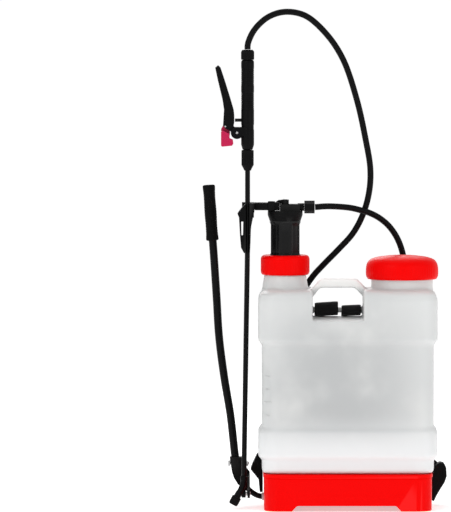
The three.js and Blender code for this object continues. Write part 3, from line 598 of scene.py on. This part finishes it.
def chamber_ribs(radius, height, turn):
    """Between the ribs the wall sinks by 2.4 mm; each rib is a narrow crest, the eighth power of a cosine."""
    window = np.clip((height - 509) / 4, 0, 1) * np.clip((574 - height) / 5, 0, 1)
    crest = np.abs(np.cos(4 * (turn + np.pi / 2 - np.pi / 8))) ** 8
    return radius - 2.4 * window * (1 - crest) * (radius > 30)


CHAMBER_RADIUS = 31
heights = [497.5, *np.linspace(507, 515, 5), *np.linspace(520, 568, 5), *np.linspace(570, 576.6, 5)]
chamber_profile = [
    (8, 300.5), (30, 300.5), (31, 301.5), (31, 491.6), (39.4, 491.6), (40, 492.2), (40, 496), (39.4, 496.6),
    *[(CHAMBER_RADIUS, z) for z in heights], (30.5, 577), (28, 577), (28, 305), (8, 305),
]
chamber = loft("pump_chamber", lathe_rings(chamber_profile, (PUMP_X, 0), 256, chamber_ribs), 50, closed=True)
fit(chamber, "frame", chamber_plastic, "black_plastic", "pressure_chamber")

# Moulded and turned pieces that keep their own shape, with each edge rounded: the pump's head and its
# crosshead, the lance's bracket and clip, the lever's clamp and crank, the link's eyes, trigger and hooks.
def softened(name, node, width):
    """A copy of a node's own mesh, its doubles merged and its flat faces joined, with rounded edges."""
    mesh = bpy.data.objects[node].data.copy()
    work = bmesh.new()
    work.from_mesh(mesh)
    bmesh.ops.remove_doubles(work, verts=work.verts, dist=1e-5)
    bmesh.ops.dissolve_limit(work, angle_limit=math.radians(1.0), verts=work.verts, edges=work.edges)
    bmesh.ops.recalc_face_normals(work, faces=work.faces)
    work.to_mesh(mesh)
    work.free()
    mesh.polygons.foreach_set("use_smooth", np.ones(len(mesh.polygons), bool))
    mesh.set_sharp_from_angle(angle=math.radians(50))
    piece = bpy.data.objects.new(name, mesh)
    bpy.context.scene.collection.objects.link(piece)
    return round_edges(piece, width)


FINISHES = {
    "black_plastic": black_plastic, "black_metal": black_metal, "steel": steel, "lock_plastic": lock_plastic,
}
SOFTENED = [
    ("pump_head", "chamber_head", "frame", "black_plastic", 1.2),
    ("hose_clamp_nut", "hose_nut", "frame", "black_plastic", 1.0),
    ("pump_crosshead", "crosshead", "crosshead", "black_plastic", 1.2),
    ("lance_arm", "lance_bracket", "frame", "black_plastic", 1.4),
    ("lance_holder", "lance_clip", "frame", "black_plastic", 1.2),
    ("lever_clamp", "lever_socket", "lever", "black_plastic", 1.6),
    ("crank", "crank_arm", "lever", "black_metal", 0.8),
    ("crank_pivot", "crank_pin", "lever", "steel", 0.5),
    ("clamp_bolt", "lever_bolt", "lever", "steel", 0.5),
    ("clamp_bolt_nut", "lever_nut", "lever", "steel", 0.5),
    ("link_foot", "link_lower_eye", "link", "black_plastic", 0.8),
    ("link_head", "link_upper_eye", "link", "black_plastic", 0.8),
    ("spray_trigger", "trigger", "trigger", "black_plastic", 1.8),
    ("spray_trigger_lock", "trigger_lock", "trigger_lock", "lock_plastic", 0.9),
    ("left_strap_hook", "strap_hook_left", "frame", "black_plastic", 3.0),
    ("right_strap_hook", "strap_hook_right", "frame", "black_plastic", 3.0),
]
for name, node, body, finish, width in SOFTENED:
    fit(softened(name, node, width), body, FINISHES[finish], finish, node)


# Lever: a bent steel shaft turns in the base and carries the hand lever, a bowed steel tube with a
# ribbed rubber grip. A link rod goes up from its crank to the crosshead.
def sweep(name, route, radius, sides=32, sharp=60.0):
    """A round section carried along a line of points. The section's two directions start square to the
    first step and are turned with the line by the least turn from step to step."""
    route = np.asarray(route, float)
    radius = np.broadcast_to(np.asarray(radius, float), len(route))
    along = np.gradient(route, axis=0)
    along /= np.linalg.norm(along, axis=1)[:, None]
    side = np.cross(along[0], (0.0, 1.0, 0.0) if abs(along[0][1]) < 0.9 else (1.0, 0.0, 0.0))
    turn = np.linspace(0, 2 * np.pi, sides, endpoint=False)[:, None]
    rings = []
    for point, forward, size in zip(route, along, radius):
        side = side - forward * np.dot(side, forward)
        side /= np.linalg.norm(side)
        other = np.cross(forward, side)
        rings.append(point + size * (np.cos(turn) * side + np.sin(turn) * other))
    return loft(name, rings, sharp)


def rounded_rod(line, radius, ease):
    """A line's points and radii with both ends rounded over the ease distance, by a quarter ellipse."""
    line = np.asarray(line, float)
    length = np.concatenate([[0], np.cumsum(np.linalg.norm(np.diff(line, axis=0), axis=1))])
    bend = 0.5 - 0.5 * np.cos(np.linspace(0, np.pi / 2, 6))
    places = np.concatenate([bend * 2 * ease, np.linspace(2 * ease, length[-1] - 2 * ease, 60)[1:-1],
                             length[-1] - bend[::-1] * 2 * ease])
    points = np.stack([np.interp(places, length, column) for column in line.T], -1)
    edge = np.clip(np.minimum(places, length[-1] - places) / (2 * ease), 0, 1)
    return points, radius - ease * (1 - np.sqrt(np.clip(1 - (1 - edge) ** 2, 0, 1)))


SHAFT_ROUTE = [(40, 19), (-40, 19), (-120, 19), (-160, 19), (-172, 19), (-181, 21), (-192, 27.5),
               (-203, 38), (-209, 52), (-214, 70)]
shaft_line, shaft_size = rounded_rod(smooth_line([(x, SHAFT_Y, z) for x, z in SHAFT_ROUTE], 120), 5.5, 0.8)
fit(sweep("pump_shaft", shaft_line, shaft_size), "lever", black_metal, "black_metal", "drive_shaft")
LEVER_ROUTE = [(-221.5, 79), (-225.7, 101), (-230.1, 141), (-235.4, 186), (-247.8, 261), (-257.9, 341),
               (-262.9, 421), (-268.7, 509), (-273, 565), (-278, 641)]
lever_line, lever_size = rounded_rod(smooth_line([(x, SHAFT_Y, z) for x, z in LEVER_ROUTE], 160), 8, 0.8)
fit(sweep("lever_arm", lever_line, lever_size, 40), "lever", black_metal, "black_metal", "lever_tube")

# The grip swells twice, has a collar at its foot, and is ribbed between 9 mm from either end.
GRIP_FOOT, GRIP_TOP = np.array([-271.2, SHAFT_Y, 535.0]), np.array([-278.8, SHAFT_Y, 647.0])
GRIP_RADIUS, COLLAR_RADIUS, RIB_PITCH, END_ROUND = 12.2, 12.7, 3.2, 3.2
share = np.linspace(0, 1, 240)
grip_length = np.linalg.norm(GRIP_TOP - GRIP_FOOT)
from_end = np.minimum(share, 1 - share) * grip_length
swell = GRIP_RADIUS + 0.3 * np.cos(4 * np.pi * share)
collar = np.where(share * grip_length < 5, 0.5, 0.0)
rib_wave = 0.5 - 0.5 * np.cos(2 * np.pi * share * grip_length / RIB_PITCH)
finger = 0.55 * rib_wave * np.clip((from_end - 9) / 3, 0, 1)
rounding = END_ROUND * (1 - np.sqrt(np.clip(1 - (1 - np.clip(from_end / END_ROUND, 0, 1)) ** 2, 0, 1)))
grip_line = GRIP_FOOT + share[:, None] * (GRIP_TOP - GRIP_FOOT)
grip_size = np.minimum(swell + collar, COLLAR_RADIUS) - finger - rounding
fit(sweep("lever_hand_grip", grip_line, grip_size, 56), "lever", rubber, "rubber", "lever_grip")

LINK_FOOT, LINK_TOP = np.array([-208.5, 0.836, 28.55]), np.array([-200.0, 14.0, 588.0])
rod_share = np.linspace(0.029, 0.971, 60)[:, None]
rod_line, rod_size = rounded_rod(LINK_FOOT + rod_share * (LINK_TOP - LINK_FOOT), 5.2, 0.6)
fit(sweep("pump_link_rod", rod_line, rod_size, 28), "link", black_metal, "black_metal", "link_rod")


# Spray handle: a black valve body with fine finger ribs, a nut for the hose above and one for the lance
# below, and two ears that the trigger turns between.
LANCE_X, LANCE_Y = -200.8, -20.0


def handle_ribs(radius, height, turn):
    """Rings of finger ribs on two stretches of the grip: the radius falls by 0.7 mm between them."""
    lower = np.clip((height - 800) / 3, 0, 1) * np.clip((838 - height) / 3, 0, 1)
    upper = np.clip((height - 848) / 3, 0, 1) * np.clip((886 - height) / 3, 0, 1)
    sunk = 0.7 * (0.5 - 0.5 * np.cos(2 * np.pi * (height - 800) / 4.0))
    return radius - sunk * np.maximum(lower, upper) + 0 * turn


barrel_foot = [(5, 720.6), (10, 720.6), (13, 731), (13, 760), (12.4, 762), (12.4, 770), (13, 772), (13, 792)]
barrel_profile = np.concatenate([eased(barrel_foot, 2, 4), [(13, z) for z in np.linspace(793, 890, 195)],
                                 eased([(13, 891), (13, 896.5), (11.6, 900.6), (5, 900.6)], 2, 4)])
barrel = loft("valve_body", lathe_rings(barrel_profile, (LANCE_X, LANCE_Y), 64, handle_ribs))
fit(barrel, "frame", black_plastic, "black_plastic", "handle_body")
ear_turn = np.linspace(math.radians(118), math.radians(332), 28)
HUB_X, HUB_Z, EAR_RADIUS = LANCE_X - 21.2, 755.0, 12.5
ear_arc = np.array([HUB_X, HUB_Z]) + EAR_RADIUS * np.stack([np.cos(ear_turn), np.sin(ear_turn)], -1)
ear_outline = np.concatenate([[(LANCE_X - 2, 744), (LANCE_X - 2, 766)], ear_arc])
for side, span in (("front", (-33.5, -28.9)), ("back", (-11.1, -6.5))):
    ear = loft("trigger_ear_" + side, slab_rings(ear_outline, span))
    fit(round_edges(ear, 1.0), "frame", black_plastic, "black_plastic")


def pin_rings(x, z, size, span, ease=0.5, sides=28):
    """A short pin along Y with eased ends, as rings of the same number of points."""
    low, high = span
    turn = np.linspace(0, 2 * np.pi, sides, endpoint=False)
    stations = [(low, size - ease), (low + ease, size), (high - ease, size), (high, size - ease)]
    return [np.stack([x + r * np.cos(turn), np.full(sides, y), z + r * np.sin(turn)], -1) for y, r in stations]


def densely(profile, steps):
    """A profile with each of its edges split into the steps."""
    share = np.linspace(0, 1, steps + 1)[:-1, None]
    edges = [a + (b - a) * share for a, b in zip(profile[:-1], profile[1:])]
    return np.concatenate([*edges, profile[-1:]])


trigger_pivot = loft("trigger_pivot", pin_rings(HUB_X, HUB_Z, 2.5, (-34.5, -5.5)))
fit(trigger_pivot, "trigger", steel, "steel", "trigger_pin")
lock_pivot = loft("lock_pivot", pin_rings(LANCE_X - 44.5, 767.5, 1.8, (-28.6, -8.5)))
fit(lock_pivot, "trigger", steel, "steel", "lock_pin")

HOSE_NUT = [(5, 901.0), (13.2, 901.0), (13.2, 917), (10.6, 920.9), (6.6, 920.9)]
LANCE_NUT = [(5.4, 679), (6.8, 679), (8.4, 683), (12.3, 690), (12.3, 719), (11.6, 720.2), (5.4, 720.2)]
for name, corners, low, high, node in (("hose_coupling_nut", HOSE_NUT, 901, 918, "handle_top_nut"),
                                       ("lance_coupling_nut", LANCE_NUT, 689, 719, "handle_lower_nut")):
    profile = densely(eased(corners, 1.2, 3), 4)
    rings = lathe_rings(profile, (LANCE_X, LANCE_Y), 192, grip_ribs(24, 0.9, low, high, 2.5))
    fit(loft(name, rings, 50), "frame", black_plastic, "black_plastic", node)

# Lance: a long thin coated tube that bows a little towards its foot, a swept elbow and a turning cap
# with the cone jet.
LANCE_ROUTE = [(0, 715), (0, 640), (0, 560), (-0.3, 500), (-2.2, 380), (-4.4, 250), (-6, 150), (-7.2, 66)]
lance_route = smooth_line([(LANCE_X + x, LANCE_Y, z) for x, z in LANCE_ROUTE], 200)
lance_line, lance_size = rounded_rod(lance_route, 5, 0.6)
fit(sweep("spray_lance", lance_line, lance_size), "frame", black_metal, "black_metal", "lance_tube")
ELBOW_ROUTE = [(-7.2, 65.4), (-8.6, 52), (-13, 39), (-21.2, 24), (-24, 19)]
elbow_route = smooth_line([(LANCE_X + x, LANCE_Y, z) for x, z in ELBOW_ROUTE], 60)
elbow_line, _ = rounded_rod(elbow_route, 7, 0.6)
along = np.linspace(0, 1, len(elbow_line))
end_collars = np.clip((0.22 - along) / 0.03, 0, 1) + np.clip((along - 0.62) / 0.04, 0, 1)
elbow_size = 6.1 + 0.9 * end_collars - 0.8 * (np.abs(along - 0.5) > 0.495)
fit(sweep("nozzle_bend", elbow_line, elbow_size), "frame", black_plastic, "black_plastic", "nozzle_elbow")
TILT = math.radians(28)
NOZZLE = np.array([LANCE_X - 21.2, LANCE_Y, 24.0])


def cap_ribs(radius, height, turn):
    """Twenty ribs round the cap: the radius falls by half a millimetre between them, where it is wide."""
    window = np.clip((height + 14.5) / 2, 0, 1) * np.clip(-height / 1.5, 0, 1)
    return radius - 0.5 * (radius > 9) * window * (0.5 - 0.5 * np.cos(20 * turn))


CAP_CORNERS = [(7.6, 0), (9.1, 0), (9.5, -1), (9.5, -14), (8.2, -17.6), (2.6, -18), (2.5, -15.4),
               (7.6, -15.2)]
cap_rings = lathe_rings(densely(eased(CAP_CORNERS, 0.8, 3), 3), (0, 0), 120, cap_ribs)
turned_x = cap_rings[..., 0] * math.cos(TILT) + cap_rings[..., 2] * math.sin(TILT)
turned_z = -cap_rings[..., 0] * math.sin(TILT) + cap_rings[..., 2] * math.cos(TILT)
cap_rings = NOZZLE + np.stack([turned_x, cap_rings[..., 1], turned_z], -1)
fit(loft("jet_cap", cap_rings, 50, closed=True), "nozzle_cap", black_plastic, "black_plastic", "nozzle_cap")


# Straps: each runs from a loop round the moulded bar, through the hand channel's back, to a padded
# piece down the wearer's side, and on as webbing through a ladder buckle to a hook on the base.
def cloth_finish(name, dark, light, threads, depth):
    """Woven cloth: two sets of threads across each other, by the product of two sine waves of the
    piece's own place, as bump and as a slight change of colour, with a dusty sheen."""
    material, nodes, links, shader = new_finish(name, light, 0.85, 0.2)
    shader.inputs["Sheen Weight"].default_value = 0.15
    shader.inputs["Sheen Roughness"].default_value = 0.5
    where = nodes.new("ShaderNodeTexCoord").outputs["Object"]
    weave = add_node(nodes, "Math")
    weave.operation = "MULTIPLY"
    for number, direction in enumerate(("X", "Z")):
        wave = add_node(nodes, "TexWave", Scale=threads, Distortion=0.6, Detail=1.0)
        wave.wave_type = "BANDS"
        wave.bands_direction = direction
        wave.wave_profile = "SIN"
        links.new(where, wave.inputs["Vector"])
        links.new(wave.outputs["Fac"], weave.inputs[number])
    dust = add_node(nodes, "TexNoise", Scale=30.0, Detail=5.0)
    links.new(where, dust.inputs["Vector"])
    woven = mix_colors(nodes, links, weave.outputs["Value"], dark, light)
    faded = tuple(1.7 * c for c in light)
    dusty = mix_colors(nodes, links, map_mask(nodes, links, dust.outputs["Fac"], 0.55, 0.85), woven, faded)
    links.new(dusty, shader.inputs["Base Color"])
    bump = add_node(nodes, "Bump", Strength=depth, Distance=0.0004)
    links.new(weave.outputs["Value"], bump.inputs["Height"])
    links.new(bump.outputs["Normal"], shader.inputs["Normal"])
    return material


webbing = cloth_finish("webbing", (0.005, 0.005, 0.0055), (0.012, 0.012, 0.0125), 160.0, 0.6)
pad_cloth = cloth_finish("pad_cloth", (0.007, 0.007, 0.0075), (0.018, 0.018, 0.019), 240.0, 0.4)
piping_cloth = cloth_finish("pad_piping", (0.01, 0.01, 0.011), (0.03, 0.03, 0.032), 300.0, 0.3)


def band_rings(line, across, width, thickness):
    """A flat band with rounded edges along a line: an oval section, wide along the across direction and
    thin along the direction square to it and to the line."""
    line = np.asarray(line, float)
    across = np.broadcast_to(np.asarray(across, float), line.shape)
    along = np.gradient(line, axis=0)
    along /= np.linalg.norm(along, axis=1)[:, None]
    wide = across - along * np.sum(across * along, 1)[:, None]
    wide /= np.linalg.norm(wide, axis=1)[:, None]
    thin = np.cross(along, wide)
    turn = np.linspace(0, 2 * np.pi, 40, endpoint=False)
    flat = np.sign(np.cos(turn)) * np.abs(np.cos(turn)) ** 0.25
    round_part = np.sign(np.sin(turn)) * np.abs(np.sin(turn)) ** 0.7
    half = np.broadcast_to(np.asarray(width, float) / 2, len(line))[:, None]
    sideways = (half * flat)[:, :, None] * wide[:, None, :]
    outward = (thickness / 2 * round_part)[None, :, None] * thin[:, None, :]
    return line[:, None, :] + sideways + outward


# Each side's loop: its two edges across, its foot and top, and how far it leans over its width.
LOOPS = {"left": (-67.0, -17.0, 384.0, 411.0, 3.0), "right": (-13.0, 29.0, 385.0, 405.0, 1.6)}
for side, (x_low, x_high, foot, top, lean) in LOOPS.items():
    middle, width = (x_low + x_high) / 2, x_high - x_low - 3
    low, high = foot + 2, top - 2
    round_bar = eased([(46.5, low), (71.5, low), (71.5, high), (46.5, high)], 7, 6, closed=True)
    tail = eased([(70, 396.5), (102.5, 396.2), (103.2, 380.5)], 5, 6)
    for name, route in (("loop", np.concatenate([round_bar, round_bar[:1]])), ("tail", tail)):
        line = np.stack([np.full(len(route), middle), *route.T], -1)
        rings = band_rings(line, (1, 0, 0), width, 3.8)
        if name == "loop":
            rings = rings[:-1]
        rings[..., 2] += lean * (rings[..., 0] - middle) / width
        band_piece = loft("strap_%s_%s" % (name, side), rings, 80, closed=name == "loop")
        stands_for = ("strap_loop_" + side,) if name == "loop" else ()
        fit(band_piece, "frame", webbing, "webbing", *stands_for)


PAD_TOP, PAD_FOOT, PAD_SPREAD, PAD_HALF = 379.0, 165.0, 0.36, 23.5
INNER_FACE = np.array([(379, 102), (340, 110), (290, 113), (225, 110), (165, 103)], float)[::-1]
OUTER_FACE = np.array([(379, 114), (340, 124), (290, 127), (225, 123), (165, 115)], float)[::-1]


def pad_middle(height, top_x, lean):
    """Where a pad's middle line stands at a height: it spreads outward as it goes down."""
    return top_x + lean * PAD_SPREAD * (PAD_TOP - height)


def pad_rings(top_x, lean, slack=1.6, stations=48):
    """A pad before it is filled: at each height an oval section, squarer than an ellipse, as wide as the
    pad and as thick as it is there, less the slack, with the ends drawn in over 14 mm."""
    height = np.linspace(PAD_TOP - 1, PAD_FOOT + 1, stations)
    inner = np.interp(height, INNER_FACE[:, 0], INNER_FACE[:, 1])
    outer = np.interp(height, OUTER_FACE[:, 0], OUTER_FACE[:, 1])
    from_end = np.minimum(PAD_TOP - height, height - PAD_FOOT)
    draw = np.sqrt(np.clip(1 - (1 - np.clip(from_end / 14, 0, 1)) ** 2, 0.05, 1))
    turn = np.linspace(0, 2 * np.pi, 44, endpoint=False)[None, :]
    wide = np.sign(np.cos(turn)) * np.abs(np.cos(turn)) ** 0.5
    thick = np.sign(np.sin(turn)) * np.abs(np.sin(turn)) ** 0.75
    half_wide = (PAD_HALF - slack) * (0.62 + 0.38 * draw)
    half_thick = ((outer - inner) / 2 - slack) * draw
    x = pad_middle(height, top_x, lean)[:, None] + half_wide[:, None] * wide
    y = ((inner + outer) / 2)[:, None] + half_thick[:, None] * thick
    return np.stack([x, y, np.broadcast_to(height[:, None], x.shape)], -1)


def read_points(mesh, what="co"):
    """A mesh's vertex positions or normals as rows of three."""
    values = np.empty(len(mesh.vertices) * 3, np.float32)
    mesh.vertices.foreach_get(what, values)
    return values.reshape(-1, 3).astype(float)


def fill_with_foam(pad, pressure=4.0, most=0.004):
    """The cloth is blown up from inside for twenty frames without gravity; no point goes further than
    the most, along its own way."""
    even = pad.modifiers.new("even", "REMESH")
    even.mode = "VOXEL"
    even.voxel_size = 0.0045
    apply_modifiers(pad)
    start = read_points(pad.data)
    cloth = pad.modifiers.new("cloth", "CLOTH")
    settings = {"quality": 6, "mass": 0.3, "tension_stiffness": 20.0, "compression_stiffness": 20.0,
                "bending_stiffness": 0.5, "use_pressure": True, "uniform_pressure_force": pressure}
    for name, value in settings.items():
        setattr(cloth.settings, name, value)
    cloth.settings.effector_weights.gravity = 0.0
    cloth.point_cache.frame_start = 1
    cloth.point_cache.frame_end = 20
    for step in range(1, 21):
        bpy.context.scene.frame_set(step)
    made = pad.evaluated_get(bpy.context.evaluated_depsgraph_get()).to_mesh()
    moved = read_points(made) - start
    pad.modifiers.clear()
    bpy.context.scene.frame_set(1)
    far = np.linalg.norm(moved, axis=1)[:, None]
    held = start + moved * np.minimum(1.0, most / np.maximum(far, 1e-9))
    pad.data.vertices.foreach_set("co", held.ravel())
    pad.data.update()
    finer = pad.modifiers.new("finer", "SUBSURF")
    finer.levels = finer.render_levels = 2
    return apply_modifiers(pad)


def sew_channels(pad, lines, depth=0.0018, width=0.0026):
    """Stitching lines across the pad: near each height the cloth goes in along its normal, by a bell
    curve of the distance to the line."""
    points, normals = read_points(pad.data), read_points(pad.data, "normal")
    dip = sum(np.exp(-(((points[:, 2] - line) / width) ** 2)) for line in lines)
    pad.data.vertices.foreach_set("co", (points - depth * dip[:, None] * normals).ravel())
    pad.data.polygons.foreach_set("use_smooth", np.ones(len(pad.data.polygons), bool))
    pad.data.update()


def pad_edge(pad, top_x, lean):
    """The line along the pad's widest points: down one side, round the foot and up the other."""
    points = (read_points(pad.data) - MIDDLE) * 1000
    sides = []
    for sign in (1, -1):
        side = []
        for height in np.linspace(PAD_TOP - 12, PAD_FOOT + 12, 22):
            near = points[np.abs(points[:, 2] - height) < 3]
            far = (near[:, 0] - pad_middle(near[:, 2], top_x, lean)) * sign
            side.append(near[far > far.max() - 0.6].mean(0))
        sides.append(side)
    ends = []
    for sign in (-1, 1):
        tip = points[:, 2] * sign
        ends.append(points[tip > tip.max() - 0.8].mean(0))
    loop = sides[0] + [ends[0]] + sides[1][::-1] + [ends[1]]
    return smooth_line(loop + loop[:2], 420)


CHANNEL_HEIGHTS = (0.205, 0.245, 0.285, 0.325)
HOOK_X, BITE_Z, WEB_FOOT, WEB_Y = 178.0, 131.5, 72.0, 105.4
# A buckle's five rails: two ends across and along the webbing, radius, and how far behind the webbing.
RAILS = [
    ((-15.5, -12), (-15.5, 12), 2.6, 0.6), ((15.5, -12), (15.5, 12), 2.6, 0.6),
    ((-15.5, -11.5), (15.5, -11.5), 2.4, -2.6), ((-15.5, 11.5), (15.5, 11.5), 2.4, -2.6),
    ((-15.5, 0), (15.5, 0), 1.9, 3.0),
]
for side, (x_low, x_high, foot, top, _) in LOOPS.items():
    lean = -1 if side == "left" else 1
    top_x = (x_low + x_high) / 2
    pad = loft("shoulder_pad_" + side + "_foam", pad_rings(top_x, lean), 80)
    fill_with_foam(pad)
    sew_channels(pad, CHANNEL_HEIGHTS)
    piping_line = pad_edge(pad, top_x, lean)[:400]
    fit(pad, "frame", pad_cloth, "pad_cloth", "shoulder_pad_" + side)
    piping = sweep("pad_piping_" + side, piping_line, 1.7, 10, 80)
    fit(piping, "frame", piping_cloth, "webbing")

    # The lower webbing, sewn to the pad's foot, and its ladder buckle.
    foot_x = pad_middle(PAD_FOOT, top_x, lean)
    slope = np.array([lean * HOOK_X - foot_x, 0, WEB_FOOT - 160.0])
    slope /= np.linalg.norm(slope)
    across = np.array([slope[2], 0, -slope[0]])
    bite_x = foot_x + (lean * HOOK_X - foot_x) * 0.32
    web_line = smooth_line([(foot_x - lean * 3, 111, 184), (foot_x, 109, 168), (foot_x + lean * 6, 106, 155),
                            (bite_x, WEB_Y, BITE_Z), (lean * HOOK_X, WEB_Y, WEB_FOOT)], 60)
    webbing_band = loft("lower_webbing_band_" + side, band_rings(web_line, across, 25, 2.0), 80)
    fit(webbing_band, "frame", webbing, "webbing", "lower_webbing_" + side)
    bite = web_line[np.argmin(np.abs(web_line[:, 2] - BITE_Z))]
    rails = []
    for start, end, size, behind in RAILS:
        ends = [bite + a * across + b * slope for a, b in (start, end)]
        line = np.linspace(ends[0], ends[1], 30) + np.array([0, behind, 0])
        rails.append(sweep("buckle_rail", *rounded_rod(line, size, 1.2), 16))
    bpy.ops.object.select_all(action="DESELECT")
    for rail in rails:
        rail.select_set(True)
    bpy.context.view_layer.objects.active = rails[0]
    bpy.ops.object.join()
    rails[0].name = "ladder_buckle_" + side
    fit(rails[0], "frame", black_plastic, "black_plastic", "strap_buckle_" + side)


# Pieces inside the tank and the pump, and the small pins and sleeves, keep their own shape and get the
# finish of their stuff.
INNER = {
    "shaft_bush_left": grey_plastic, "shaft_bush_right": grey_plastic, "filler_strainer": black_plastic,
    "lid_gasket": rubber, "pump_barrel": grey_plastic, "foot_valve": black_plastic, "foot_valve_ball": steel,
    "neck_gasket": rubber, "piston_rod": steel, "piston": brass, "piston_seal": rubber, "crosshead_pin": steel,
    "valve_pin": black_plastic, "nozzle_disc": brass,
}
for node, material in INNER.items():
    bpy.data.objects[node].data.materials.clear()
    bpy.data.objects[node].data.materials.append(material)
